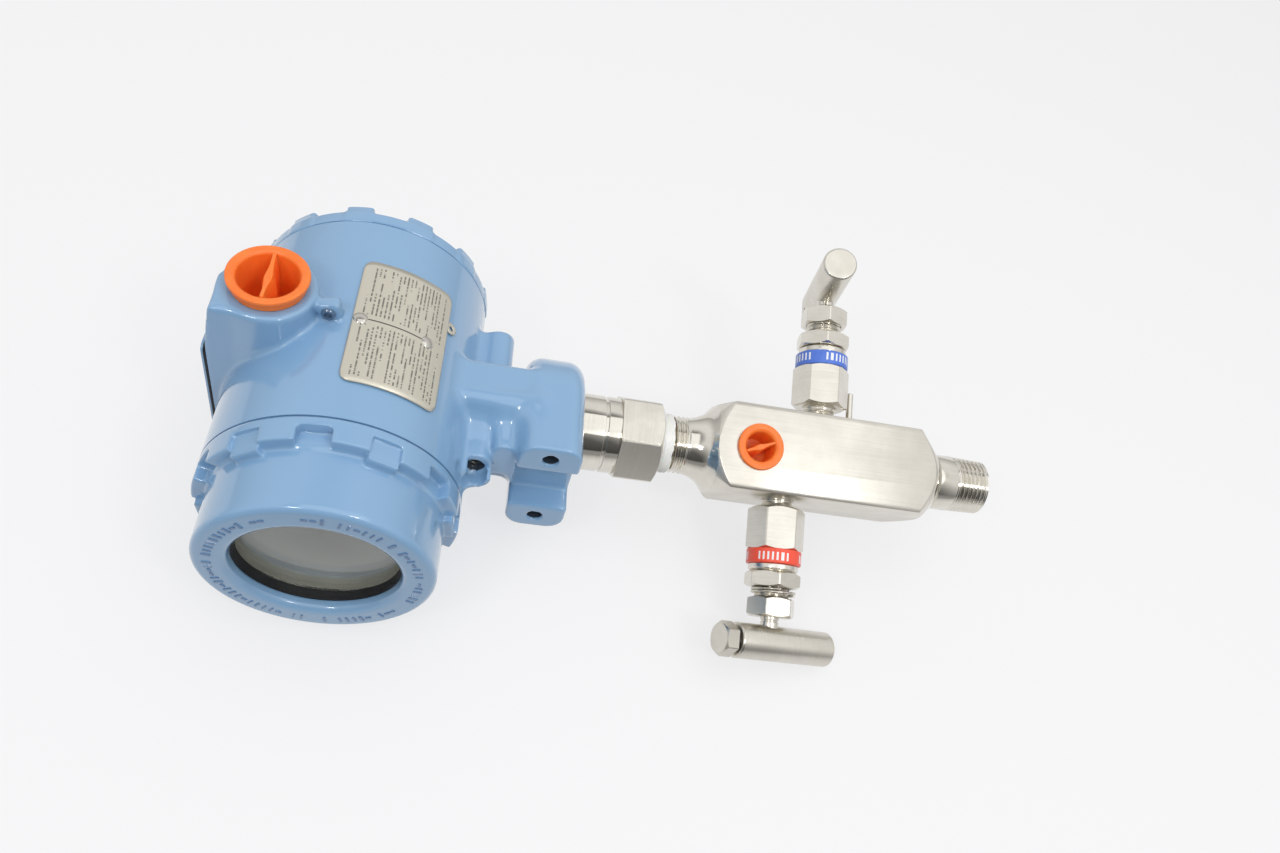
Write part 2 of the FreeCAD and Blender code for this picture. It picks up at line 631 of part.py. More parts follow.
    shank_solid = cylinder(f"{valve}_bolt_shank", "bolt_r", "handle_short", bar_at, back_along)
    head = hexagon(f"{valve}_bolt_hex", "bolt_flats", "handle_short + bolt_head", bar_at, back_along)
    head_low = cylinder(f"{valve}_bolt_low", "bolt_flats", "handle_short", bar_at, back_along)
    head_only = cut(f"{valve}_bolt_head", head, head_low)
    bolt = fuse(f"{valve}_bolt_solid", head_only, shank_solid)
    stem_space = cylinder(f"{valve}_bolt_end", "stem_r", f"{HANDLE_AXIS} + handle_r", at, turn)
    nodes[f"{valve}_handle_bolt"] = cut(f"{valve}_handle_bolt", bolt, stem_space)


def make_vent_extras():
    """The loose wire ring on the vent valve and the shipping plug in its port."""
    reach = f"bar_width / 2 + vent_stand + {RING_START} + ring_lift"
    hang = "ring_r - ring_wire_r - bonnet_thread_r"
    nodes["vent_tag_ring"] = torus("vent_tag_ring", "ring_r", "ring_wire_r",
                                   clocked("0", f"-({reach})", f"vent_z - ({hang})"), VENT_TURN)
    cup_r = "port_r - running_gap"
    hollow_r = f"{cup_r} - port_cup_wall"
    face = clocked("bar_width / 2 - port_cup", "0", "port_z")
    cup = turned("vent_plug_cup", [
        ("0", "0"),
        (cup_r, "0"),
        (cup_r, "port_cup"),
        ("port_flange_r", "port_cup"),
        ("port_flange_r", "port_cup + port_flange"),
        (hollow_r, "port_cup + port_flange"),
        (hollow_r, "port_cup_wall"),
        ("0", "port_cup_wall"),
    ], face, PORT_TURN)
    web = box("vent_plug_web", f"2 * ({hollow_r})", "port_web", "port_cup + port_flange",
              clocked("bar_width / 2 - port_cup", "-port_web / 2", f"port_z + {hollow_r}"), PORT_TURN)
    nodes["vent_port_plug"] = fuse("vent_port_plug", cup, web)


def make_connector():
    """The connector over the upper thread, its tape and the sensor in the neck."""
    hexed = hexagon("connector_hexagon", "connector_flats", "connector_hex", ("0", "0", CONNECTOR_BASE),
                    "rotation(vector(0; 0; 1); connector_turn)")
    groove = f"{HEX_TOP} + groove_rise"
    collar = turned("connector_collar", [
        ("0", HEX_TOP),
        ("connector_r", HEX_TOP),
        ("connector_r", groove),
        ("connector_r - groove_depth", groove),
        ("connector_r - groove_depth", f"{groove} + groove_width"),
        ("connector_r", f"{groove} + groove_width"),
        ("connector_r", CONNECTOR_TOP),
        ("0", CONNECTOR_TOP),
    ])
    socket = turned("connector_socket", [
        ("0", CONNECTOR_BASE),
        ("pipe_r", CONNECTOR_BASE),
        ("pipe_r", THREAD_TOP),
        ("sensor_port_r", THREAD_TOP),
        ("sensor_port_r", CONNECTOR_TOP),
        ("0", CONNECTOR_TOP),
    ])
    nodes["process_connector"] = cut("process_connector", fuse("connector_solid", hexed, collar), socket)
    nodes["sealing_tape"] = turned("sealing_tape", [
        ("pipe_r", f"{CONNECTOR_BASE} - tape_height"),
        ("pipe_r + tape_thick", f"{CONNECTOR_BASE} - tape_height"),
        ("pipe_r + tape_thick", CONNECTOR_BASE),
        ("pipe_r", CONNECTOR_BASE),
    ])
    nodes["sensor_module"] = cylinder("sensor_module", "sensor_r", "sensor_height", ("0", "0", CONNECTOR_TOP))


def make_housing():
    """The cast housing with its bosses, block, neck and bracket lugs."""
    axis = ("0", REAR_PLANE, "axis_height")
    barrel = cylinder("housing_barrel", "housing_r", "housing_length", axis, FORWARD)
    boss = cylinder("conduit_boss", "conduit_boss_r", "conduit_span",
                    ("-conduit_span / 2", "housing_mid", CONDUIT_Z), SIDEWARD)
    block = extruded("top_block", [
        ("-conduit_span / 2", CONDUIT_Z),
        ("conduit_span / 2", CONDUIT_Z),
        ("conduit_span / 2", "axis_height + block_shoulder"),
        ("block_flat / 2", "axis_height + block_rise"),
        ("-block_flat / 2", "axis_height + block_rise"),
        ("-conduit_span / 2", "axis_height + block_shoulder"),
    ], "block_depth", ("0", "block_depth - block_front", "0"))
    web = box("neck_web", "web_width", "web_front + web_rear", "axis_height - neck_top",
              ("-web_width / 2", "-web_front", "neck_top"))
    side = [
        ("neck_low_r", "neck_bottom"),
        ("neck_r", "neck_bottom + neck_low_bevel"),
        ("neck_r", "neck_top - neck_top_bevel"),
        ("neck_top_r", "neck_top"),
    ]
    round_side = turned("neck_round", [("0", "neck_bottom")] + side + [("0", "neck_top")])
    mirrored = [(f"-{across}", up) for across, up in reversed(side)]
    front_side = extruded("neck_front", side + mirrored, "lug_front", ORIGIN)
    jam_low = "axis_height - jam_boss_drop"
    jam_boss = cylinder("jam_boss", "jam_boss_r", "jam_boss_front + jam_boss_rear",
                        ("jam_boss_x", "jam_boss_rear", jam_low), FORWARD)
    rib_length = "side_boss_front + side_boss_rear"
    rib_low = "(neck_top - neck_top_bevel)"
    rib_middle = f"(axis_height - side_boss_drop - {rib_low})"
    side_boss = cylinder("side_boss", "side_boss_r", rib_length,
                         ("side_boss_x", "side_boss_rear", "axis_height - side_boss_drop"), FORWARD)
    side_rib = box("side_rib", "side_boss_x", rib_length, f"{rib_middle} + side_boss_r",
                   ("0", "-side_boss_front", rib_low))
    rib_face = box("rib_face", "side_boss_x + side_boss_r", rib_length, rib_middle,
                   ("0", "-side_boss_front", rib_low))
    rear_boss = cylinder("rear_boss", "rear_boss_r", "jam_boss_rear",
                         ("rear_boss_x", "jam_boss_rear", "axis_height - rear_boss_drop"), FORWARD)
    lug = box("ground_lug", "ground_lug_height", "ground_lug_width", "ground_lug_reach", (
        "-ground_lug_height / 2 * sin(ground_lug_turn)",
        "ground_lug_y - ground_lug_width / 2",
        "axis_height + ground_lug_height / 2 * cos(ground_lug_turn)"), outward("ground_lug_turn"))
    solid = fuse("housing_solid", barrel, boss, block, web, round_side, front_side, jam_boss, side_boss,
                 side_rib, rib_face, rear_boss, lug)

    depth = "cover_engage + cover_bore_spare"
    tools = [
        cylinder("front_bore", COVER_BORE_R, depth,
                 ("0", f"{FRONT_PLANE} + {depth}", "axis_height"), FORWARD),
        cylinder("rear_bore", COVER_BORE_R, depth, ("0", REAR_PLANE, "axis_height"), FORWARD),
        cylinder("front_cavity", "cavity_r", f"-partition_front - {FRONT_PLANE}",
                 ("0", "-partition_front", "axis_height"), FORWARD),
        cylinder("rear_cavity", "cavity_r", f"{REAR_PLANE} + partition_front - partition",
                 ("0", REAR_PLANE, "axis_height"), FORWARD),
        cylinder("conduit_bore", "conduit_r", "conduit_span",
                 ("-conduit_span / 2", "housing_mid", CONDUIT_Z), SIDEWARD),
        cylinder("neck_bore", "connector_r", "connector_hold + sensor_height + neck_bore_spare",
                 ("0", "0", "neck_bottom")),
        cylinder("wire_passage", "wire_passage_r", "axis_height - neck_bottom", ("0", "0", "neck_bottom")),
        box("lug_gap", "lug_slot", "lug_slot_depth", "neck_top - neck_bottom",
            ("-lug_slot / 2", "-lug_front", "neck_bottom")),
    ]
    for name, x in (("right_bracket_hole", "bracket_pitch / 2"), ("left_bracket_hole", "-bracket_pitch / 2")):
        tools.append(cylinder(name, "bracket_hole_r", "bracket_hole_depth",
                              (x, "bracket_hole_depth - lug_front", "bracket_z"), FORWARD))
    tools.append(cylinder("jam_cup_hollow", "jam_cup_r", "jam_cup",
                          ("jam_boss_x", "jam_cup - jam_boss_front", jam_low), FORWARD))
    tools.append(box("jam_cup_opening", "jam_boss_r", "jam_cup", "jam_boss_r + jam_cup_side",
                     ("jam_boss_x", "-jam_boss_front", f"{jam_low} - jam_boss_r")))
    front_jam = ("jam_boss_x", "jam_cup - jam_boss_front + jam_hole_depth", jam_low)
    rear_jam = ("jam_boss_x", "jam_boss_rear - jam_hole_depth", jam_low)
    tools.append(cylinder("front_jam_hole", "jam_hole_r", "jam_hole_depth", front_jam, FORWARD))
    tools.append(cylinder("rear_jam_hole", "jam_hole_r", "jam_hole_depth", rear_jam, REARWARD))
    for name, turn in (("upper_rivet_hole", "rivet_high_turn"), ("lower_rivet_hole", "rivet_low_turn")):
        tools.append(cylinder(name, "rivet_r", "rivet_sunk",
                              around("housing_r - rivet_sunk", turn, "plate_y"), outward(turn)))
    ground_foot = around("ground_screw_reach", "ground_lug_turn", f"{GROUND_FACE} + ground_sunk")
    tools.append(cylinder("ground_hole", "ground_screw_r", "ground_sunk", ground_foot, FORWARD))
    for name, x in (("right_top_hole", "top_screw_span / 2"), ("left_top_hole", "-top_screw_span / 2")):
        tools.append(cylinder(name, "top_screw_r", "top_screw_sunk",
                              (x, BLOCK_MID, "axis_height + block_rise - top_screw_sunk")))
    nodes["housing"] = cut("housing", solid, *tools)

    jam_length = "jam_hole_depth - jam_sunk"
    nodes["cover_jam_screws"] = group(
        "cover_jam_screws",
        cylinder("front_jam_screw", "jam_hole_r", jam_length, front_jam, FORWARD),
        cylinder("rear_jam_screw", "jam_hole_r", jam_length, rear_jam, REARWARD))


def around(radius, turn, y):
    """A point at a radius from the housing axis, turned up from +X."""
    return (f"({radius}) * cos({turn})", y, f"axis_height + ({radius}) * sin({turn})")


def outward(turn):
    """A rotation that points a piece's Z away from the housing axis."""
    return f"rotation(vector(0; 1; 0); 90 - ({turn}))"


def make_front_cover():
    """The window cover and what it carries, measured forward from the parting line."""
    back = "cover_engage"
    at = ("0", f"{FRONT_PLANE} + cover_engage", "axis_height")
    skirt_r = "cover_thread_r - skirt_wall"
    lip = f"{back} + front_length - window_lip"
    groove = f"{back} - o_ring_back"
    groove_r = "cover_thread_r - 2 * o_ring_r - running_gap"
    cover = turned("front_cover", [
        (skirt_r, "0"),
        ("cover_thread_r", "0"),
        ("cover_thread_r", f"{groove} - o_ring_groove"),
        (groove_r, f"{groove} - o_ring_groove"),
        (groove_r, groove),
        ("cover_thread_r", groove),
        ("cover_thread_r", back),
        ("flange_r", back),
        ("flange_r", f"{back} + front_flange"),
        ("front_r", f"{back} + front_flange"),
        ("front_r", f"{back} + front_length"),
        ("window_r", f"{back} + front_length"),
        ("window_throat_r", lip),
        ("glass_r", lip),
        ("glass_r", f"{lip} - gasket - glass - ring_width"),
        (skirt_r, f"{lip} - gasket - glass - ring_width"),
    ], at, FORWARD)
    rounded(cover, "front_edge", "front_r", f"{back} + front_length")
    repeated_box(cover, "Subtractive", "front_notch",
                 ("flange_r", "notch_width", "front_flange - notch_start"),
                 around_z("notch_floor_r", "-notch_width / 2", f"{back} + notch_start", "notch_turn"),
                 "rotation(vector(0; 0; 1); notch_turn)", "notch_count")
    repeated_box(cover, "Subtractive", "front_pocket",
                 ("flange_r", "pad_width", "front_flange - notch_start"),
                 around_z("pad_floor_r", "-pad_width / 2", f"{back} + notch_start", "pad_turn"),
                 "rotation(vector(0; 0; 1); pad_turn)", "notch_count")
    repeated_box(cover, "Additive", "front_pad",
                 ("pad_floor_r - front_r + skirt_wall", "pad_width", "pad_reach - notch_start"),
                 around_z("front_r - skirt_wall", "-pad_width / 2", f"{back} + notch_start", "pad_turn"),
                 "rotation(vector(0; 0; 1); pad_turn)", "notch_count")
    nodes["front_cover"] = cover

    nodes["window_gasket"] = ring("window_gasket", "gasket_r", "glass_r", f"{lip} - gasket", lip, at)
    glass_back = f"{lip} - gasket - glass"
    nodes["window_glass"] = cylinder("window_glass", "glass_r", "glass", forward_of(at, glass_back), FORWARD)
    nodes["window_retaining_ring"] = ring("window_retaining_ring", "ring_bore_r", "glass_r",
                                          f"{glass_back} - ring_width", glass_back, at)
    middle = f"{groove} - o_ring_groove / 2"
    nodes["front_cover_o_ring"] = torus("front_cover_o_ring", "cover_thread_r - o_ring_r", "o_ring_r",
                                        forward_of(at, middle), FORWARD)


def ring(name, inner, outer, low, high, at):
    """A plain turned ring that faces forward."""
    return turned(name, [(inner, low), (outer, low), (outer, high), (inner, high)], at, FORWARD)


def forward_of(at, distance):
    return (at[0], f"{at[1]} - ({distance})", at[2])


def around_z(radius, across, up, turn):
    """The corner of a box that lies at a radius and is turned about Z."""
    x = f"({radius}) * cos({turn}) - ({across}) * sin({turn})"
    y = f"({radius}) * sin({turn}) + ({across}) * cos({turn})"
    return (x, y, up)


def make_rear_cover():
    """The blank cover, measured rearward from its parting line."""
    back = "cover_engage"
    at = ("0", f"{REAR_PLANE} - cover_engage", "axis_height")
    skirt_r = "cover_thread_r - skirt_wall"
    groove = f"{back} - o_ring_back"
    groove_r = "cover_thread_r - 2 * o_ring_r - running_gap"
    inner_top = f"{back} + rear_cap - rear_wall"
    cover = turned("rear_cover", [
        (skirt_r, "0"),
        ("cover_thread_r", "0"),
        ("cover_thread_r", f"{groove} - o_ring_groove"),
        (groove_r, f"{groove} - o_ring_groove"),
        (groove_r, groove),
        ("cover_thread_r", groove),
        ("cover_thread_r", back),
        ("flange_r", back),
        ("flange_r", f"{back} + rear_flange"),
        ("rear_cap_r", f"{back} + rear_flange"),
        ("rear_cap_r", f"{back} + rear_cap"),
        ("0", f"{back} + rear_cap"),
        ("0", inner_top),
        (skirt_r, inner_top),
    ], at, REARWARD)
    lug_in = "rear_cap_r - skirt_wall"
    lug_out = "sqrt(flange_r * flange_r - rear_lug_width * rear_lug_width / 4)"
    repeated_box(cover, "Additive", "rear_lug_block",
                 (f"{lug_out} - ({lug_in})", "rear_lug_width", "rear_lug"),
                 around_z(lug_in, "-rear_lug_width / 2", back, "rear_lug_turn"),
                 "rotation(vector(0; 0; 1); rear_lug_turn)", "rear_lug_count")
    nodes["rear_cover"] = cover
    middle = f"{groove} - o_ring_groove / 2"
    nodes["rear_cover_o_ring"] = torus("rear_cover_o_ring", "cover_thread_r - o_ring_r", "o_ring_r",
                                       (at[0], f"{at[1]} + {middle}", at[2]), REARWARD)


def make_plates():
    """Nameplate, top plate and their fasteners, and the ground screw."""
    at = ("0", "plate_y + plate_length / 2", "axis_height")
    turn = spun(FORWARD, "plate_start")
    outer = sector("nameplate_outer", "housing_r + plate_thick", "plate_length", "plate_sweep", at, turn)
    inner = cylinder("nameplate_inner", "housing_r", "plate_length", at, FORWARD)
    holes = []
    rivets = []
    for name, angle in (("upper", "rivet_high_turn"), ("lower", "rivet_low_turn")):
        foot = around("housing_r - rivet_sunk", angle, "plate_y")
        shank = "rivet_sunk + plate_thick"
        holes.append(cylinder(f"{name}_plate_hole", "rivet_r", shank, foot, outward(angle)))
        stem = cylinder(f"{name}_rivet_shank", "rivet_r", shank, foot, outward(angle))
        head_at = around("housing_r + plate_thick", angle, "plate_y")
        head = cylinder(f"{name}_rivet_head", "rivet_head_r", "rivet_head", head_at, outward(angle))
        rivets.append(fuse(f"{name}_rivet", stem, head))
    nodes["nameplate"] = cut("nameplate", outer, inner, *holes)
    nodes["nameplate_rivets"] = group("nameplate_rivets", *rivets)

    flat = "axis_height + block_rise"
    width = "block_flat - 2 * top_margin"
    depth = "block_depth - 2 * top_margin"
    left = "top_margin - block_flat / 2"
    front = "top_margin - block_front"
    sheet_solid = box("top_gasket_sheet", width, depth, "top_gasket", (left, front, flat))
    plate_solid = box("top_plate_sheet", width, depth, "top_plate", (left, front, f"{flat} + top_gasket"))
    screws = []
    gasket_holes = []
    plate_holes = []
    for name, x in (("right", "top_screw_span / 2"), ("left", "-top_screw_span / 2")):
        foot = (x, BLOCK_MID, f"{flat} - top_screw_sunk")
        shank = "top_screw_sunk + top_gasket + top_plate"
        gasket_holes.append(cylinder(f"{name}_gasket_hole", "top_screw_r", shank, foot))
        plate_holes.append(cylinder(f"{name}_top_plate_hole", "top_screw_r", shank, foot))
        stem = cylinder(f"{name}_top_shank", "top_screw_r", shank, foot)
        head = cylinder(f"{name}_top_head", "top_screw_head_r", "top_screw_head",
                        (x, BLOCK_MID, f"{flat} + top_gasket + top_plate"))
        screws.append(fuse(f"{name}_top_screw", stem, head))
    nodes["top_plate_gasket"] = cut("top_plate_gasket", sheet_solid, *gasket_holes)
    nodes["top_plate"] = cut("top_plate", plate_solid, *plate_holes)
    nodes["top_plate_screws"] = group("top_plate_screws", *screws)

    foot = around("ground_screw_reach", "ground_lug_turn", f"{GROUND_FACE} + ground_sunk")
    stem = cylinder("ground_shank", "ground_screw_r", "ground_sunk", foot, FORWARD)
    head_at = around("ground_screw_reach", "ground_lug_turn", GROUND_FACE)
    head = cylinder("ground_head_disc", "ground_head_r", "ground_head", head_at, FORWARD)
    nodes["ground_screw"] = fuse("ground_screw", stem, head)


def make_plugs():
    """The shipping plug and the blanking plug of the two conduit entries."""
    at = ("conduit_span / 2 - plug_cup", "housing_mid", CONDUIT_Z)
    rim = "plug_cup + plug_stand"
    cup_r = "conduit_r - running_gap"
    hollow_r = f"{cup_r} - plug_wall"
    cup = turned("conduit_plug_cup", [
        ("0", "0"),
        (cup_r, "0"),
        (cup_r, "plug_cup + running_gap"),
        ("plug_neck_r", "plug_cup + running_gap"),
        ("plug_neck_r", rim),
        ("plug_r", rim),
        ("plug_r", f"{rim} + plug_flange"),
        (hollow_r, f"{rim} + plug_flange"),
        (hollow_r, "plug_wall"),
        ("0", "plug_wall"),
    ], at, SIDEWARD)
    web = box("conduit_plug_web", "plug_web", f"2 * ({hollow_r})", f"{rim} + plug_flange",
              (at[0], f"housing_mid - ({hollow_r})", f"{CONDUIT_Z} + plug_web / 2"), SIDEWARD)
    nodes["conduit_plug"] = fuse("conduit_plug", cup, web)

    far = ("-conduit_span / 2", "housing_mid", CONDUIT_Z)
    slug = cylinder("blanking_slug", "conduit_r", "blank_length", far, SIDEWARD)
    socket = hexagon("blanking_socket", "socket_flats", "socket_depth", far, SIDEWARD)
    nodes["blanking_plug"] = cut("blanking_plug", slug, socket)


def make_inside():
    """Board, display and terminal block inside the housing."""
    posts = []
    half = "standoff_span / 2"
    for side in ("", "-"):
        for end in ("", "-"):
            post_at = (f"{side}{half}", "-partition_front", f"axis_height + {end}{half}")
            posts.append(cylinder("board_post", "standoff_r", "standoff", post_at, FORWARD))
    nodes["board_standoffs"] = group("board_standoffs", *posts)
    board_y = "-partition_front - standoff"
    nodes["electronics_board"] = cylinder("electronics_board", "board_r", "board",
                                          ("0", board_y, "axis_height"), FORWARD)
    nodes["display_module"] = turned("display_module", [
        ("0", "0"),
        ("display_stub_r", "0"),
        ("display_stub_r", "display_stub"),
        ("display_r", "display_stub"),
        ("display_r", "display_stub + display"),
        ("0", "display_stub + display"),
    ], ("0", f"{board_y} - board", "axis_height"), FORWARD)

    block_y = "partition - partition_front"
    solid = box("terminal_solid", "terminal_width", "terminal_depth", "terminal_height",
                ("-terminal_width / 2", block_y, "axis_height - terminal_drop"))
    screws = []
    holes = []
    for name, x in (("left", "-terminal_pitch"), ("middle", "0"), ("right", "terminal_pitch")):
        face = f"{block_y} + terminal_depth"
        up = "axis_height + terminal_screw_rise"
        foot = (x, f"{face} - terminal_sunk", up)
        holes.append(cylinder(f"{name}_terminal_hole", "terminal_screw_r", "terminal_sunk", foot, REARWARD))
        stem = cylinder(f"{name}_terminal_shank", "terminal_screw_r", "terminal_sunk", foot, REARWARD)
        head = cylinder(f"{name}_terminal_head", "terminal_head_r", "terminal_head", (x, face, up), REARWARD)
        screws.append(fuse(f"{name}_terminal_screw", stem, head))
    nodes["terminal_block"] = cut("terminal_block", solid, *holes)
    nodes["terminal_screws"] = group("terminal_screws", *screws)


def export():
    """Checks every object and writes one file for each node."""
    doc.recompute()
    for obj in doc.Objects:
        if {"Invalid", "Error"} & set(obj.State):
            raise RuntimeError(f"{obj.Name} is {obj.State}")
        if obj.isDerivedFrom("Part::Feature") and (obj.Shape.isNull() or not obj.Shape.isValid()):
            raise RuntimeError(f"{obj.Name} has no valid shape")
    for name, obj in nodes.items():
        if not obj.Shape.Solids:
            raise RuntimeError(f"{name} has no solid")
        obj.Shape.exportStep(f"parts/{name}.step")
        print(f"{name}: {len(obj.Shape.Solids)} solid, {obj.Shape.Volume:.0f} mm3, {obj.Shape.BoundBox}")


make_manifold()
make_valve("isolate", ISOLATE_TURN, 1, "isolate_z")
make_valve("vent", VENT_TURN, -1, "vent_z")
make_vent_extras()
make_connector()
make_housing()
make_front_cover()
make_rear_cover()
make_plates()
make_plugs()
make_inside()
export()
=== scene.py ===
"""Looks of the pressure transmitter on its two-valve manifold.

Sizes are in millimetres in the classes and become metres when a mesh is made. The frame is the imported
part's own: the lower pipe thread ends at the origin, Z runs up the process axis, the window looks along -Y.
"""
from __future__ import annotations

import logging
import math
from contextlib import contextmanager
from dataclasses import dataclass
from enum import Enum
from functools import cache
from itertools import accumulate
from typing import Callable, Iterator, Sequence

import bmesh
import bpy
import numpy as np
from mathutils import Matrix, Vector

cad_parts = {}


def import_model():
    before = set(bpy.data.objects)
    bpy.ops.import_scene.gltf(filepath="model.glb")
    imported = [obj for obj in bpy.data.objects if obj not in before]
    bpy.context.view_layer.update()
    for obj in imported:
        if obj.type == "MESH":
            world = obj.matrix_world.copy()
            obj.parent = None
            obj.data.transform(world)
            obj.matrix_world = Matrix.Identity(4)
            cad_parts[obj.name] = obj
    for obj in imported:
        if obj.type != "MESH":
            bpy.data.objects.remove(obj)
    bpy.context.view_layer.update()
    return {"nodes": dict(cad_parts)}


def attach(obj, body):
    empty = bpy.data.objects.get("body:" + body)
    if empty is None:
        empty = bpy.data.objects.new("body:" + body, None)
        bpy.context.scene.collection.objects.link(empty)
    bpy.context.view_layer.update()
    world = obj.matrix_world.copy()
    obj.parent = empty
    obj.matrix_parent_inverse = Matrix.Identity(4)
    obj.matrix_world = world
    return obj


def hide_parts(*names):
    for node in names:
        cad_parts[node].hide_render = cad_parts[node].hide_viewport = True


LOG = logging.getLogger("transmitter")
MM = 0.001
FULL_TURN = 2.0 * math.pi

Array = np.ndarray
Span = tuple[float, float]
Point = tuple[float, float, float]
Four = tuple[float, float, float, float]
Colour = Four
Profile = Sequence[Point]
Rings = list[tuple[Array | float, Array | float]]
Faces = list[tuple[int, ...]]
Measure = Callable[[Array], Array]
Mesh, Node, Piece = bpy.types.Mesh, bpy.types.Node, bpy.types.Object
Socket, Tree = bpy.types.NodeSocket, bpy.types.NodeTree

# Directions in the part's frame
RIGHT, BEHIND, UP = (1.0, 0.0, 0.0), (0.0, 1.0, 0.0), (0.0, 0.0, 1.0)
LEFT, AHEAD = (-1.0, 0.0, 0.0), (0.0, -1.0, 0.0)

# Edges steeper than these many degrees stay crisp
PLAIN_EDGE, HEXAGON_EDGE, SOFT_EDGE, CAST_EDGE, WIRE_EDGE = 32.0, 24.0, 40.0, 50.0, 60.0
BAR_EDGE = 38.0


class Body(Enum):
    """Rigid bodies of the part that pieces ride on."""

    ROOT = "body"
    FRONT_LID = "front_lid"
    REAR_LID = "rear_lid"
    CONDUIT_PLUG = "conduit_plug"
    PORT_PLUG = "vent_port_plug"
    ISOLATE_SPINDLE = "isolate_spindle"
    VENT_SPINDLE = "vent_spindle"


class Slot(Enum):
    """Material slots of the record."""

    PAINT = "paint"
    GLASS = "glass"
    SEAL = "seal"
    DISPLAY = "display"
    PLATE = "plate"
    ORANGE = "orange"
    STEEL = "steel"
    TAPE = "tape"
    BLUE_BAND = "blue_band"
    RED_BAND = "red_band"


def srgb(red: int, green: int, blue: int) -> Colour:
    """Turns a screen colour into a linear one.

    Args:
        red: Red from 0 to 255.
        green: Green from 0 to 255.
        blue: Blue from 0 to 255.

    Returns:
        The linear colour with full alpha.
    """
    shares = [part / 255.0 for part in (red, green, blue)]
    linear = [share / 12.92 if share <= 0.04045 else ((share + 0.055) / 1.055) ** 2.4 for share in shares]
    return (linear[0], linear[1], linear[2], 1.0)


# Shader graphs


class Graph:
    """A thin writer for one node tree."""

    def __init__(self, tree: Tree) -> None:
        """Keeps the tree that the nodes go into."""
        self.tree = tree

    @classmethod
    def blank(cls, owner: bpy.types.Material | bpy.types.World) -> Graph:
        """Empties an owner's node tree and returns its writer.

        Args:
            owner: A material or a world.

        Returns:
            The writer.
        """
        owner.use_nodes = True
        owner.node_tree.nodes.clear()
        return cls(owner.node_tree)

    def feed(self, node: Node, values: dict) -> Node:
        """Joins or sets inputs of a node.

        Args:
            node: A node of the tree.
            values: Socket names or numbers, each with a value or with an output socket to join.

        Returns:
            The node.
        """
        for key, value in values.items():
            if isinstance(value, Socket):
                self.tree.links.new(value, node.inputs[key])
            else:
                node.inputs[key].default_value = value
        return node

    def node(self, kind: str, inputs: dict | None = None, **settings: object) -> Node:
        """Adds a node.

        Args:
            kind: Blender's node type.
            inputs: What goes into its inputs.
            settings: Properties of the node.

        Returns:
            The new node.
        """
        made = self.tree.nodes.new(kind)
        for name, value in settings.items():
            setattr(made, name, value)
        return self.feed(made, inputs or {})

    def math(self, operation: str, first: object, second: object = 0.0, clamp: bool = False) -> Socket:
        """Adds a math node and returns its output."""
        return self.node(
            "ShaderNodeMath", {0: first, 1: second}, operation=operation, use_clamp=clamp).outputs[0]

    def product(self, first: object, *others: object) -> Socket:
        """Multiplies two or more values and returns the output."""
        for other in others:
            first = self.math("MULTIPLY", first, other)
        return first

    def less(self, first: object, second: object) -> Socket:
        """Returns 1 where the first value is the smaller one."""
        return self.math("LESS_THAN", first, second)

    def more(self, first: object, second: object) -> Socket:
        """Returns 1 where the first value is the greater one."""
        return self.math("GREATER_THAN", first, second)

    def off(self, value: object, middle: float) -> Socket:
        """Returns how far a value is from a middle."""
        return self.math("ABSOLUTE", self.math("SUBTRACT", value, middle))

    def mix(self, share: object, low: object, high: object) -> Socket:
        """Adds a colour mix and returns its output."""
        return self.node("ShaderNodeMix", {0: share, 6: low, 7: high}, data_type="RGBA").outputs[2]

    def blend(self, share: object, low: object, high: object) -> Socket:
        """Adds a mix of two numbers and returns its output."""
        return self.node("ShaderNodeMix", {0: share, 2: low, 3: high}, data_type="FLOAT").outputs[0]

    def ramp(self, value: object, low: object, high: object, to_low: float, to_high: float) -> Socket:
        """Adds a clamped map range and returns its output."""
        limits = {0: value, 1: low, 2: high, 3: to_low, 4: to_high}
        return self.node("ShaderNodeMapRange", limits, clamp=True).outputs[0]

    def noise(self, where: Socket, scale: float, detail: float = 2.0) -> Socket:
        """Adds a noise texture and returns its value."""
        return self.node("ShaderNodeTexNoise", {"Vector": where, "Scale": scale, "Detail": detail}).outputs[0]

    def split(self, vector: Socket) -> Sequence[Socket]:
        """Returns the three parts of a vector."""
        return self.node("ShaderNodeSeparateXYZ", {0: vector}).outputs

    def joined(self, *parts: object) -> Socket:
        """Returns a vector of up to three parts."""
        return self.node("ShaderNodeCombineXYZ", dict(enumerate(parts))).outputs[0]

    def bump(self, strength: float, distance: float, height: Socket) -> Socket:
        """Adds a bump node and returns its normal."""
        return self.node(
            "ShaderNodeBump", {"Strength": strength, "Distance": distance, "Height": height}).outputs[0]

    def group(self, tree: Tree, **values: object) -> Sequence[Socket]:
        """Places a shared group with its own values and returns its outputs."""
        return self.node("ShaderNodeGroup", values, node_tree=tree).outputs


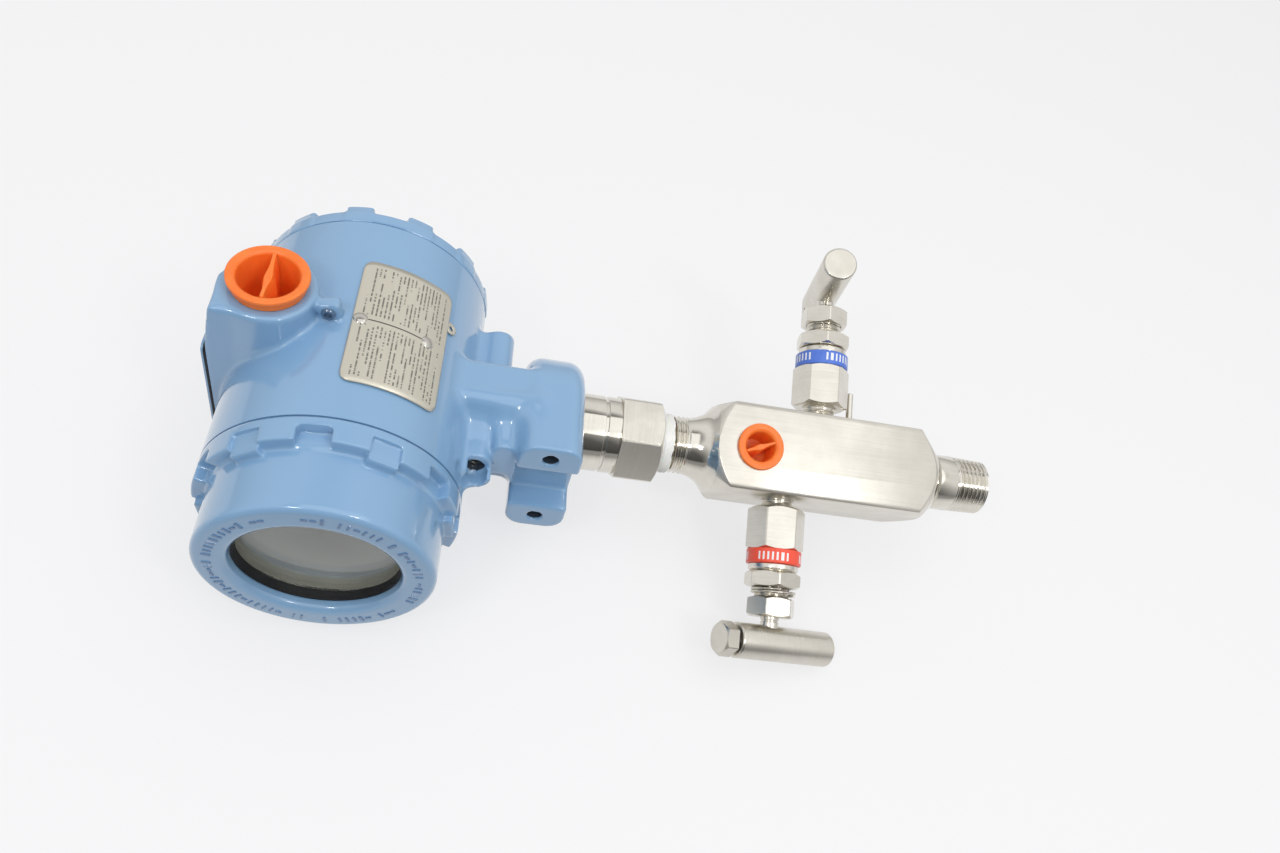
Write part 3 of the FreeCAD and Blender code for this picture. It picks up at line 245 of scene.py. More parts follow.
class Effects:
    """Shader groups that several finishes share, each built once."""

    @staticmethod
    def started(
            name: str, numbers: dict[str, float], outputs: Sequence[str]) -> tuple[Graph, Sequence[Socket]]:
        """Starts a group with a vector and named numbers going in.

        Args:
            name: Name of the group.
            numbers: Each float input and its first value.
            outputs: Names of the float outputs.

        Returns:
            The group's writer and its input sockets.
        """
        tree = bpy.data.node_groups.new(name, "ShaderNodeTree")
        tree.interface.new_socket("Vector", in_out="INPUT", socket_type="NodeSocketVector")
        for socket, value in numbers.items():
            tree.interface.new_socket(
                socket, in_out="INPUT", socket_type="NodeSocketFloat").default_value = value
        for socket in outputs:
            tree.interface.new_socket(socket, in_out="OUTPUT", socket_type="NodeSocketFloat")
        graph = Graph(tree)
        return graph, graph.node("NodeGroupInput").outputs

    @classmethod
    @cache
    def mottle(cls) -> Tree:
        """Returns cloudy variation, for handling marks and uneven paint."""
        graph, given = cls.started("mottle", {"Scale": 100.0, "Contrast": 0.2}, ["Mask"])
        broad = graph.node(
            "ShaderNodeTexNoise", {"Vector": given["Vector"], "Scale": given["Scale"], "Detail": 4.0,
            "Roughness": 0.55}).outputs[0]
        low, high = (graph.math(way, 0.5, given["Contrast"]) for way in ("SUBTRACT", "ADD"))
        graph.node("NodeGroupOutput", {"Mask": graph.ramp(broad, low, high, 0.0, 1.0)})
        return graph.tree

    @classmethod
    @cache
    def tool_marks(cls) -> Tree:
        """Returns fine lines left by turning or brushing, drawn long in one direction."""
        graph, given = cls.started("tool_marks", {"Around": 40.0, "Along": 4000.0}, ["Mask", "Height"])
        around, along, _ = graph.split(given["Vector"])
        drawn = graph.joined(graph.product(around, given["Around"]), graph.product(along, given["Along"]))
        fine, coarse = graph.noise(drawn, 1.0, 3.0), graph.noise(drawn, 0.17)
        both = graph.math("ADD", graph.product(fine, 0.75), graph.product(coarse, 0.25))
        graph.node("NodeGroupOutput", {"Mask": graph.ramp(both, 0.25, 0.75, 0.0, 1.0), "Height": both})
        return graph.tree


class Finish:
    """Base of all finishes: builds its material once and hands it out."""

    name: str

    def material(self) -> bpy.types.Material:
        """Returns the finish's material, made on first use."""
        found = bpy.data.materials.get(self.name)
        if found is None:
            found = bpy.data.materials.new(self.name)
            graph = Graph.blank(found)
            shader = graph.node("ShaderNodeBsdfPrincipled")
            graph.node("ShaderNodeOutputMaterial", {"Surface": shader.outputs[0]})
            self.draw(graph, shader)
        return found

    def draw(self, graph: Graph, shader: Node) -> None:
        """Adds the finish's own nodes.

        Args:
            graph: Writer for the material's tree.
            shader: The material's Principled BSDF.
        """
        raise NotImplementedError

    @staticmethod
    def cloud(graph: Graph, scale: float, contrast: float) -> Socket:
        """Returns cloudy variation that stays with the piece."""
        where = Finish.place(graph)
        return graph.group(Effects.mottle(), Vector=where, Scale=scale, Contrast=contrast)[0]

    @staticmethod
    def place(graph: Graph, on_surface: bool = False) -> Socket:
        """Returns Object coordinates, or the piece's own map where a pattern follows the surface."""
        if on_surface:
            return graph.node("ShaderNodeUVMap", uv_map="surface").outputs[0]
        return graph.node("ShaderNodeTexCoord").outputs["Object"]


@dataclass(frozen=True)
class Bore:
    """A bore along Y where the paint gives way to bare metal, in millimetres; in the small holes that bare
    thread is darkened as painted shade.
    """

    x: float
    z: float
    radius: float
    front: float
    rear: float
    # Colour inside the bore; in the small holes it is painted shade over bare thread.
    bare_and_shade: Colour

    def mask(self, graph: Graph, where: Socket) -> Socket:
        """Finds what lies in the bore.

        Args:
            graph: Writer for the material's tree.
            where: Object coordinates.

        Returns:
            1 within the bore and 0 elsewhere.
        """
        across, along, rise = graph.split(where)
        squares = [
            graph.math("POWER", graph.math("SUBTRACT", part, middle * MM), 2.0)
            for part, middle in ((across, self.x), (rise, self.z))]
        inside = graph.less(graph.math("ADD", *squares), (self.radius * MM) ** 2)
        return graph.product(inside, graph.more(along, self.front * MM), graph.less(along, self.rear * MM))


@dataclass(frozen=True)
class Paint(Finish):
    """Smooth glossy paint over a casting, which stays bare within its bores; the dark colour of the small
    holes is painted shade.
    """

    name: str
    colour: Colour = srgb(128, 167, 204)
    thin: Colour = srgb(131, 170, 206)
    roughness: Span = (0.16, 0.20)
    bores: tuple[Bore, ...] = ()
    bare_roughness: float = 0.5
    peel_scale: float = 420.0
    peel_relief: Span = (0.06, 0.0002)
    coat: Span = (0.8, 0.04)

    def draw(self, graph: Graph, shader: Node) -> None:
        """Adds uneven colour, a fine orange peel and a clear sheen.

        Args:
            graph: Writer for the material's tree.
            shader: The material's Principled BSDF.
        """
        where = self.place(graph)
        cloud = self.cloud(graph, 55.0, 0.5)
        base = graph.mix(cloud, self.colour, self.thin)
        rough = graph.ramp(cloud, 0.0, 1.0, *self.roughness)
        # Each bore takes its own colour; in the small holes that is painted shade over bare thread.
        for bore in self.bores:
            within = bore.mask(graph, where)
            base = graph.mix(within, base, bore.bare_and_shade)
            rough = graph.math("MAXIMUM", rough, graph.product(within, self.bare_roughness))
        peel = graph.bump(*self.peel_relief, graph.noise(where, self.peel_scale))
        graph.feed(
            shader, {"Base Color": base, "Roughness": rough, "Normal": peel, "Coat Weight": self.coat[0],
            "Coat Roughness": self.coat[1]})


@dataclass(frozen=True)
class Steel(Finish):
    """Machined stainless steel; its marks follow the piece's own surface map."""

    name: str
    bright: Colour = srgb(232, 228, 219)
    dull: Colour = srgb(206, 201, 190)
    roughness: Span = (0.2, 0.32)
    around: float = 20.0
    along: float = 5200.0
    relief: float = 0.12
    on_surface: bool = True
    stretch: float = 0.0
    turned_past: Span | None = None
    turned_roughness: Span = (0.08, 0.16)
    mark_share: float = 0.55
    mark_depth: float = 0.00004

    def draw(self, graph: Graph, shader: Node) -> None:
        """Adds tool marks, smudges and their relief, and highlights drawn out across turning marks.

        Args:
            graph: Writer for the material's tree.
            shader: The material's Principled BSDF.
        """
        mapped = self.place(graph, self.on_surface)
        mask, lines = graph.group(Effects.tool_marks(), Vector=mapped, Around=self.around, Along=self.along)
        smudge = self.cloud(graph, 140.0, 0.25)
        tone = graph.math(
            "ADD", graph.product(mask, self.mark_share), graph.product(smudge, 1.0 - self.mark_share))
        rough = graph.ramp(tone, 0.0, 1.0, self.roughness[1], self.roughness[0])
        if self.turned_past:
            height = graph.split(self.place(graph))[2]
            low, high = (end * MM for end in self.turned_past)
            past = graph.math("ADD", graph.less(height, low), graph.more(height, high), True)
            rough = graph.blend(past, rough, graph.ramp(smudge, 0.0, 1.0, *self.turned_roughness))
        graph.feed(
            shader, {"Base Color": graph.mix(tone, self.dull, self.bright), "Roughness": rough,
            "Normal": graph.bump(self.relief, self.mark_depth, lines), "Metallic": 1.0})
        if self.stretch:
            around = graph.node("ShaderNodeTangent", direction_type="UV_MAP", uv_map="surface")
            graph.feed(
                shader, {"Tangent": around.outputs[0], "Anisotropic": self.stretch,
                "Anisotropic Rotation": 0.25})


@dataclass(frozen=True)
class Moulded(Finish):
    """Moulded plastic, rubber or tape with a soft grain."""

    name: str
    colour: Colour
    shade: Colour
    roughness: Span = (0.35, 0.5)
    grain: float = 1200.0
    relief: float = 0.1
    glow: float = 0.0
    glow_radius: Point = (1.0, 0.35, 0.1)
    glow_scale: float = 0.003

    def draw(self, graph: Graph, shader: Node) -> None:
        """Adds cloudy colour, grain and, in thin plastic, some light passing through.

        Args:
            graph: Writer for the material's tree.
            shader: The material's Principled BSDF.
        """
        base = graph.mix(self.cloud(graph, 160.0, 0.25), self.shade, self.colour)
        grain = graph.noise(self.place(graph), self.grain)
        graph.feed(
            shader, {"Base Color": base, "Roughness": graph.ramp(grain, 0.3, 0.7, *self.roughness),
            "Normal": graph.bump(self.relief, 0.0001, grain)})
        if self.glow:
            graph.feed(
                shader, {"Subsurface Weight": self.glow, "Subsurface Radius": self.glow_radius,
                "Subsurface Scale": self.glow_scale})


@dataclass(frozen=True)
class Glass(Finish):
    """Thick clear window glass with faint smears, which lets light through to what is behind it."""

    name: str
    tint: Colour = srgb(247, 249, 249)
    smeared: float = 0.05
    bending: float = 1.47

    def draw(self, graph: Graph, shader: Node) -> None:
        """Adds smears to otherwise clear glass.

        Args:
            graph: Writer for the material's tree.
            shader: The material's Principled BSDF.
        """
        smear = self.cloud(graph, 70.0, 0.2)
        graph.feed(
            shader, {"Roughness": graph.ramp(smear, 0.0, 1.0, 0.0, self.smeared), "Base Color": self.tint,
            "Transmission Weight": 1.0, "IOR": self.bending})
        path = graph.node("ShaderNodeLightPath").outputs
        passing = graph.math("ADD", path["Is Shadow Ray"], path["Is Diffuse Ray"], True)
        clear = graph.node("ShaderNodeBsdfTransparent", {"Color": self.tint})
        both = graph.node("ShaderNodeMixShader", {0: passing, 1: shader.outputs[0], 2: clear.outputs[0]})
        target = next(node for node in graph.tree.nodes if node.bl_idname == "ShaderNodeOutputMaterial")
        graph.feed(target, {"Surface": both.outputs[0]})


@dataclass(frozen=True)
class PrintedPlate(Finish):
    """Satin metal plate with rows of plain printed dashes that stand for small print."""

    name: str
    metal: Colour = srgb(211, 207, 193)
    worn: Colour = srgb(202, 197, 182)
    ink: Colour = srgb(46, 44, 42)
    row: float = 1.3 * MM
    half_length: float = 25.4 * MM
    width: float = 31.9 * MM
    margin: float = 2.4 * MM
    half_gap: float = 1.9 * MM
    rule: Point = (13.7 * MM, 9.0 * MM, 0.22 * MM)
    ink_share: float = 0.72

    def draw(self, graph: Graph, shader: Node) -> None:
        """Adds the grain of the metal, the dashes and the line between the rivets.

        Args:
            graph: Writer for the material's tree.
            shader: The material's Principled BSDF.
        """
        mapped = self.place(graph, on_surface=True)
        across, along, _ = graph.split(mapped)
        grain, lines = graph.group(Effects.tool_marks(), Vector=mapped, Around=3000.0, Along=40.0)
        row = graph.math("DIVIDE", across, self.row)
        number = graph.math("FLOOR", row)
        letters = graph.noise(
            graph.joined(graph.product(along, 1500.0), graph.product(number, 7.3)), 1.0, 1.0)
        words = graph.noise(graph.joined(graph.product(along, 95.0), graph.product(number, 3.7)), 1.0, 0.0)
        far = graph.math("ABSOLUTE", along)
        dashes = graph.product(
            graph.less(graph.math("FRACT", row), 0.4), graph.more(letters, 0.45), graph.more(words, 0.42),
            graph.less(far, self.half_length - self.margin), graph.more(far, self.half_gap),
            graph.more(across, self.margin), graph.less(across, self.width - self.margin))
        middle, reach, half = self.rule
        rule = graph.product(graph.less(far, half), graph.less(graph.off(across, middle), reach))
        ink = graph.math("MAXIMUM", graph.product(dashes, self.ink_share), rule)
        graph.feed(
            shader, {"Base Color": graph.mix(ink, graph.mix(grain, self.worn, self.metal), self.ink),
            "Roughness": graph.ramp(ink, 0.0, 1.0, 0.36, 0.6),
            "Metallic": graph.ramp(ink, 0.0, 1.0, 0.55, 0.0), "Normal": graph.bump(0.1, 0.00003, lines)})


@dataclass(frozen=True)
class LabelBand(Finish):
    """Coloured valve band with a row of plain white dashes."""

    name: str
    colour: Colour
    shade: Colour
    white: Colour = srgb(238, 240, 242)
    dash: float = 1.7 * MM
    middle: float = 4.2 * MM
    half_height: float = 1.45 * MM
    dashes_in_word: float = 9.0

    def draw(self, graph: Graph, shader: Node) -> None:
        """Adds the dashes and a worn gloss.

        Args:
            graph: Writer for the material's tree.
            shader: The material's Principled BSDF.
        """
        around, along, _ = graph.split(self.place(graph, on_surface=True))
        slot = graph.math("DIVIDE", around, self.dash)
        word = graph.math("FRACT", graph.math("DIVIDE", slot, self.dashes_in_word))
        white = graph.product(
            graph.less(graph.math("FRACT", slot), 0.42), graph.less(graph.off(along, self.middle),
            self.half_height), graph.less(word, 0.62))
        cloud = self.cloud(graph, 260.0, 0.3)
        base = graph.mix(cloud, self.shade, self.colour)
        graph.feed(
            shader, {"Base Color": graph.mix(white, base, self.white),
            "Roughness": graph.ramp(cloud, 0.0, 1.0, 0.24, 0.4)})


class Finishes:
    """All finishes of the part, by the name of what they cover."""

    CAST_ALLOY = srgb(206, 205, 199)
    # Bare thread in the small holes, darkened as painted shade for the holes' depth.
    HOLE_THREAD_AND_SHADE = srgb(52, 62, 74)
    PAINT = Paint("satin_paint")
    HOUSING = Paint(
        "housing_paint", bores=(Bore(0.0, 239.0, 36.3, -38.8, 44.5, CAST_ALLOY),
        Bore(17.35, 171.6, 3.2, -26.5, -10.0, HOLE_THREAD_AND_SHADE), Bore(-17.35, 171.6, 3.2, -26.5, -10.0, HOLE_THREAD_AND_SHADE),
        Bore(8.0, 195.5, 3.2, -26.7, 27.0, HOLE_THREAD_AND_SHADE)))
    COVER = Paint("cover_paint", bores=(Bore(0.0, 239.0, 32.6, -64.3, 0.0, CAST_ALLOY),))
    # Painted shade: the cast marks round the window take a darker blue than the cover, for the shade round
    # raised letters.
    SHADED_MARKS = Paint("ring_mark_painted_shade", srgb(84, 120, 162), srgb(92, 128, 170))
    # Painted shade: a darker blue on the ground screw's head for the shade in the front of its lug.
    GROUND_SCREW_SHADE = Paint("ground_screw_shade_paint", srgb(72, 98, 128), srgb(84, 112, 142))
    TURNED = Steel("turned_steel", roughness=(0.18, 0.3), stretch=0.45, relief=0.08)
    POLISHED = Steel("polished_steel", roughness=(0.05, 0.12), relief=0.03, stretch=0.3)
    BAR = Steel(
        "brushed_bar", around=2600.0, along=24.0, roughness=(0.26, 0.38), relief=0.1,
        turned_past=(26.0, 110.6))
    HANDLE = Steel("handle_steel", dull=srgb(204, 199, 187), roughness=(0.24, 0.34), relief=0.06, stretch=0.6)
    BOLT = Steel("bolt_steel", bright=srgb(222, 218, 208), dull=srgb(190, 185, 174))
    # A dark washer whose darkness also paints the shadow in the gap under the bolt head.
    WASHER_AND_GAP_SHADE = Steel("washer_and_gap_shade", bright=srgb(92, 90, 86), dull=srgb(62, 60, 58), roughness=(0.35, 0.5))
    HIDDEN_STEEL = Steel("inner_steel", on_surface=False, around=400.0, along=400.0)
    RIVET = Steel(
        "rivet_steel", bright=srgb(208, 205, 198), dull=srgb(186, 182, 174), on_surface=False, around=300.0,
        along=300.0, roughness=(0.12, 0.2), relief=0.02)
    RING = Moulded("ring_metal", srgb(186, 183, 170), srgb(172, 169, 156), (0.4, 0.55), 1200.0, 0.05)
    ORANGE = Moulded("orange_plastic", srgb(255, 134, 56), srgb(255, 124, 46), (0.3, 0.42), 700.0, 0.05, 0.4)
    RUBBER = Moulded("black_rubber", srgb(30, 31, 33), srgb(20, 21, 23), (0.5, 0.7), 1800.0, 0.2)
    TAPE = Moulded("white_tape", srgb(247, 246, 242), srgb(234, 233, 228), (0.45, 0.65), 900.0, 0.25, 0.1)
    DISPLAY = Moulded("display_grey", srgb(248, 249, 251), srgb(240, 242, 244), (0.4, 0.55), 1500.0, 0.06)
    BOARD = Moulded("board_lacquer", srgb(34, 92, 52), srgb(24, 76, 42), (0.3, 0.45), 900.0, 0.06)
    TERMINAL = Moulded("terminal_plastic", srgb(38, 38, 40), srgb(26, 26, 28), (0.45, 0.6), 1500.0, 0.12)
    GLASS = Glass("window_glass_clear")
    PLATE = PrintedPlate("printed_plate")
    BLUE_BAND = LabelBand("blue_band_gloss", srgb(88, 126, 220), srgb(76, 114, 208))
    RED_BAND = LabelBand("red_band_gloss", srgb(248, 92, 68), srgb(238, 80, 56))


# Shapes


@dataclass(frozen=True)
class Place:
    """A local frame: where its origin is and where its axes point, in millimetres."""

    origin: Point = (0.0, 0.0, 0.0)
    axis: Point = UP
    side: Point = RIGHT

    def matrix(self) -> Array:
        """Returns the three axes as columns."""
        up = np.array(self.axis) / np.linalg.norm(self.axis)
        across = np.array(self.side) / np.linalg.norm(self.side)
        return np.stack([across, np.cross(up, across), up], axis=1)

    def point(self, local: Point) -> Array:
        """Returns a local point in the part's frame."""
        return np.array(self.origin) + self.direction(local)

    def direction(self, local: Point) -> Array:
        """Returns a local direction in the part's frame."""
        return self.matrix() @ np.array(local, float)


def linked(name: str, data: bpy.types.ID) -> Piece:
    """Adds an object with the given data to the scene.

    Args:
        name: Name of the object.
        data: Its mesh, lamp or camera.

    Returns:
        The object.
    """
    made = bpy.data.objects.new(name, data)
    bpy.context.scene.collection.objects.link(made)
    return made


@contextmanager
def opened(data: Mesh) -> Iterator[bmesh.types.BMesh]:
    """Opens a mesh for editing and writes the result back.

    Args:
        data: The mesh.

    Yields:
        The mesh as it is edited.
    """
    work = bmesh.new()
    work.from_mesh(data)
    yield work
    work.to_mesh(data)
    work.free()


def applied(piece: Piece) -> Mesh:
    """Puts what a piece's modifiers make in place of its mesh and returns that.

    Args:
        piece: A piece with modifiers.

    Returns:
        Its new mesh.
    """
    depsgraph = bpy.context.evaluated_depsgraph_get()
    data = bpy.data.meshes.new_from_object(piece.evaluated_get(depsgraph), depsgraph=depsgraph)
    piece.modifiers.clear()
    piece.data = data
    return data


def smoothed(data: Mesh, sharp: float) -> None:
    """Shades a mesh smooth, apart from edges steeper than so many degrees."""
    data.shade_smooth()
    data.set_sharp_from_angle(angle=math.radians(sharp))


@dataclass
class Shape:
    """Points, faces and a surface map of a piece before it becomes a mesh."""

    points: Array
    faces: Faces
    surface: Array

    @classmethod
    def unmapped(cls, points: Sequence, faces: Faces) -> Shape:
        """Returns a shape whose finish needs no surface map."""
        return cls(np.array(points, float), faces, np.zeros((sum(len(face) for face in faces), 2)))

    def placed(self, place: Place) -> Shape:
        """Returns the shape moved into a local frame."""
        moved = self.points @ place.matrix().T + np.array(place.origin)
        return Shape(moved, self.faces, self.surface)

    def joined(self, *others: Shape) -> Shape:
        """Returns this shape and others as one.

        Args:
            others: Shapes to add.

        Returns:
            All of them as one shape.
        """
        points, faces, surface = [self.points], list(self.faces), [self.surface]
        count = len(self.points)
        for other in others:
            faces += [tuple(index + count for index in face) for face in other.faces]
            points.append(other.points)
            surface.append(other.surface)
            count += len(other.points)
        return Shape(np.concatenate(points), faces, np.concatenate(surface))

    def mesh(self, name: str, finish: Finish, sharp: float = PLAIN_EDGE, weld: float = 1e-7) -> Piece:
        """Makes the object.

        Args:
            name: Name of the piece.
            finish: Finish of all its faces.
            sharp: Edges steeper than this many degrees stay crisp.
            weld: Points closer than this many metres become one.

        Returns:
            The new object, linked to the scene.
        """
        data = bpy.data.meshes.new(name)
        data.from_pydata((self.points * MM).tolist(), [], self.faces)
        layer = data.uv_layers.new(name="surface")
        layer.data.foreach_set("uv", (self.surface * MM).astype(np.float32).ravel())
        with opened(data) as work:
            bmesh.ops.remove_doubles(work, verts=work.verts, dist=weld)
            bmesh.ops.dissolve_degenerate(work, edges=work.edges, dist=weld)
        smoothed(data, sharp)
        data.materials.append(finish.material())
        return linked(name, data)

    def fit(
            self, name: str, finish: Finish, node: str, body: Body = Body.ROOT, slot: Slot = Slot.STEEL,
            sharp: float = PLAIN_EDGE) -> None:
        """Makes the object and puts it in the place of a node, on a body."""
        fitted(self.mesh(name, finish, sharp), node, body)


def even_angles(count: int) -> Array:
    """Returns evenly spread angles of a full turn."""
    return np.arange(count) * FULL_TURN / count


def swept(rings: Rings, angles: Array, loop: bool = False) -> Shape:
    """Joins rings of radius and height into a surface round the local Z axis.

    Args:
        rings: Radius and height of each ring, plain or one value for each angle, going up the outside.
        angles: Angles of the columns.
        loop: True where the last ring joins the first.

    Returns:
        The shape, with its map in millimetres around and along.
    """
    count, rows = len(angles), len(rings)
    radius = np.array([np.broadcast_to(ring[0], count) for ring in rings], float)
    height = np.array([np.broadcast_to(ring[1], count) for ring in rings], float)
    points = np.stack([radius * np.cos(angles), radius * np.sin(angles), height], axis=-1).reshape(-1, 3)
    steps = np.hypot(np.diff(radius, axis=0), np.diff(height, axis=0)).mean(axis=1)
    along = np.concatenate([[0.0], np.cumsum(steps)])
    around = np.append(angles, angles[0] + FULL_TURN) * radius.max()
    faces, surface = [], []
    for low in range(rows if loop else rows - 1):
        high = (low + 1) % rows
        top = along[high] if high else along[low] + 1.0
        for left in range(count):
            right = (left + 1) % count
            faces.append((low * count + left, low * count + right, high * count + right, high * count + left))
            u_left, u_right = around[left], around[left + 1]
            surface += [(u_left, along[low]), (u_right, along[low]), (u_right, top), (u_left, top)]
    return Shape(points, faces, np.array(surface))


def softened(profile: Profile, steps: int = 4) -> Rings:
    """Rounds the corners of a profile.

    Args:
        profile: Radius, height and rounding of each corner.
        steps: Points in each rounding.

    Returns:
        The rings of the rounded profile.
    """
    corners = [np.array(item[:2], float) for item in profile]
    rings: Rings = []
    for index, (radius, height, rounding) in enumerate(profile):
        if rounding <= 0.0 or index in (0, len(profile) - 1):
            rings.append((radius, height))
            continue
        corner = corners[index]
        before, after = corners[index - 1] - corner, corners[index + 1] - corner
        reach = min(rounding, 0.49 * np.linalg.norm(before), 0.49 * np.linalg.norm(after))
        start = corner + before / np.linalg.norm(before) * reach
        end = corner + after / np.linalg.norm(after) * reach
        for share in np.linspace(0.0, 1.0, steps + 1):
            point = (1 - share) ** 2 * start + 2 * share * (1 - share) * corner + share ** 2 * end
            rings.append((float(point[0]), float(point[1])))
    return rings


def turned(profile: Profile, count: int = 96, loop: bool = False) -> Shape:
    """Returns a turned shape with softened corners."""
    return swept(softened(profile), even_angles(count), loop)


@dataclass(frozen=True)
class Hexagon:
    """Cross-section of hexagon bar with slightly rounded corners."""

    flats: float
    turn: float = 0.0
    corner: float = 0.985
    chamfer: float = 30.0

    def angles(self, steps: int = 8) -> Array:
        """Returns column angles with the corners and the chamfer arcs resolved.

        Args:
            steps: Columns on each flat.

        Returns:
            The angles.
        """
        edge = math.acos(self.flats / 2.0 / self.limit())
        side = np.append(np.linspace(-edge, edge, steps + 1), math.radians(30.0))
        return np.concatenate([side + math.radians(self.turn + 30.0 + 60.0 * number) for number in range(6)])

    def limit(self) -> float:
        """Returns the radius over the rounded corners."""
        return self.flats / math.sqrt(3.0) * self.corner

    def radius(self, angles: Array) -> Array:
        """Returns the outline's radius at each angle."""
        folded = np.mod(angles - math.radians(self.turn), math.pi / 3.0) - math.pi / 6.0
        return np.minimum(self.flats / 2.0 / np.cos(folded), self.limit())

    def rings(
            self, low: float, high: float, low_face: float | None, high_face: float | None,
            angles: Array) -> Rings:
        """Returns the outside of a hexagon with turned chamfers.

        Args:
            low: Height of the lower face.
            high: Height of the upper face.
            low_face: Radius of the lower turned face, or None for a plain end.
            high_face: Radius of the upper turned face, or None for a plain end.
            angles: Column angles.

        Returns:
            The rings from the lower face to the upper.
        """
        outline = self.radius(angles)
        slope = math.tan(math.radians(self.chamfer))
        rings: Rings = []
        for height, face, inward in ((low, low_face, 1.0), (high, high_face, -1.0)):
            if face is None:
                rings.append((outline, height))
                continue
            pair = [
                (np.minimum(outline, face), height), (outline, height + inward
                * np.maximum(outline - face, 0.0) * slope)]
            rings += pair if inward > 0.0 else pair[::-1]
        return rings


@dataclass(frozen=True)
class Thread:
    """Right-handed ridges between two heights."""

    radius: float
    depth: float
    pitch: float
    taper: float = 0.0

    def rings(self, low: float, high: float, angles: Array, per_pitch: int = 12) -> Rings:
        """Returns the ridges, cut to run out at both ends.

        Args:
            low: Height of the first ring.
            high: Height of the last ring.
            angles: Column angles.
            per_pitch: Rings for each ridge.

        Returns:
            The rings.
        """
        heights = np.linspace(low, high, max(3, int((high - low) / self.pitch * per_pitch)))
        rings: Rings = []
        for height in heights:
            phase = np.mod(height / self.pitch - angles / FULL_TURN, 1.0)
            valley = (0.5 - 0.5 * np.cos(FULL_TURN * phase)) ** 0.8
            fade = min(1.0, (height - low) / self.pitch, (high - height) / self.pitch)
            rings.append(
                (self.radius + self.taper * (height - low) - self.depth * valley * fade, float(height)))
        return rings


def tube(path: Array, radius: float, count: int = 10) -> Shape:
    """Makes a round wire with closed ends.

    Args:
        path: Points along its middle.
        radius: Radius of the wire.
        count: Columns around it.

    Returns:
        The wire.
    """
    ahead = np.gradient(path, axis=0)
    ahead /= np.linalg.norm(ahead, axis=1)[:, None]
    points, faces, surface = [], [], []
    angles = even_angles(count)
    for centre, forward in zip(path, ahead):
        side = np.cross(forward, np.array(UP))
        side /= np.linalg.norm(side)
        up = np.cross(side, forward)
        points.append(centre + radius * (np.cos(angles)[:, None] * side + np.sin(angles)[:, None] * up))
    last = (len(path) - 1) * count
    for row in range(len(path) - 1):
        for left in range(count):
            first, second = row * count + left, row * count + (left + 1) % count
            faces.append((first, first + count, second + count, second))
            surface += [(left, row), (left, row + 1), (left + 1, row + 1), (left + 1, row)]
    faces += [tuple(range(count)), tuple(last + index for index in range(count - 1, -1, -1))]
    surface += [(0.0, 0.0)] * (2 * count)
    return Shape(np.concatenate(points), faces, np.array(surface, float))


# Casting fields


class Field:
    """Distances to simple solids at many points, negative inside, in millimetres."""

    @staticmethod
    def rod(points: Array, centre: Point, axis: int, radius: float, half: float, edge: float) -> Array:
        """Returns distances to a cylinder along one axis with rounded edges.

        Args:
            points: Where to measure.
            centre: Middle of the cylinder.
            axis: 0, 1 or 2 for X, Y or Z.
            radius: Radius.
            half: Half its length.
            edge: Rounding of its edges.

        Returns:
            The distances.
        """
        away = points - np.array(centre, points.dtype)
        others = [item for item in range(3) if item != axis]
        out = np.hypot(away[..., others[0]], away[..., others[1]]) - (radius - edge)
        return Field.corner(out, np.abs(away[..., axis]) - (half - edge)) - edge

    @staticmethod
    def corner(first: Array, second: Array) -> Array:
        """Returns the distance to the corner that two half-spaces share."""
        outside = np.hypot(np.maximum(first, 0.0), np.maximum(second, 0.0))
        return outside + np.minimum(np.maximum(first, second), 0.0)

    @staticmethod
    def block(points: Array, low: Point, high: Point, edge: float) -> Array:
        """Returns distances to a box with rounded edges.

        Args:
            points: Where to measure.
            low: Its lowest corner.
            high: Its highest corner.
            edge: Rounding of its edges.

        Returns:
            The distances.
        """
        centre = (np.array(low) + np.array(high)) / 2.0
        half = (np.array(high) - np.array(low)) / 2.0 - edge
        away = np.abs(points - centre.astype(points.dtype)) - half.astype(points.dtype)
        outside = np.sqrt((np.maximum(away, 0.0) ** 2).sum(axis=-1))
        return outside + np.minimum(away.max(axis=-1), 0.0) - edge

    @staticmethod
    def union(first: Array, second: Array, fillet: float | Array) -> Array:
        """Joins two solids with a fillet."""
        share = np.maximum(fillet - np.abs(first - second), 0.0) / fillet
        return np.minimum(first, second) - share * share * fillet * 0.25

    @staticmethod
    def without(solid: Array, tool: Array, fillet: float) -> Array:
        """Takes a tool from a solid and rounds the edge."""
        return -Field.union(-solid, tool, fillet)

    @staticmethod
    def common(first: Array, second: Array, fillet: float) -> Array:
        """Keeps what two solids share, with a rounded edge."""
        return -Field.union(-first, -second, fillet)

    @staticmethod
    def either(*solids: Array) -> Array:
        """Joins solids with plain edges."""
        return np.minimum.reduce(solids)

    @staticmethod
    def both(*solids: Array) -> Array:
        """Keeps what solids share, with plain edges."""
        return np.maximum.reduce(solids)


@dataclass(frozen=True)
class Around:
    """A chart of radius, Y and angle round an axis along Y, so that round edges stay clean."""

    axis_z: float

    def points(self, chart: Array) -> Array:
        """Returns chart positions in the part's frame."""
        radius, along, angle = chart[..., 0], chart[..., 1], chart[..., 2]
        return np.stack([radius * np.cos(angle), along, self.axis_z + radius * np.sin(angle)], axis=-1)

    @staticmethod
    def space(radii: Span, along: Span, step: float, columns: int) -> tuple[Point, Point, Point]:
        """Returns the low corner, high corner and cell size of a full turn with one column twice."""
        turn = FULL_TURN / columns
        return (radii[0], along[0], 0.0), (radii[1], along[1], FULL_TURN + 0.99 * turn), (step, step, turn)


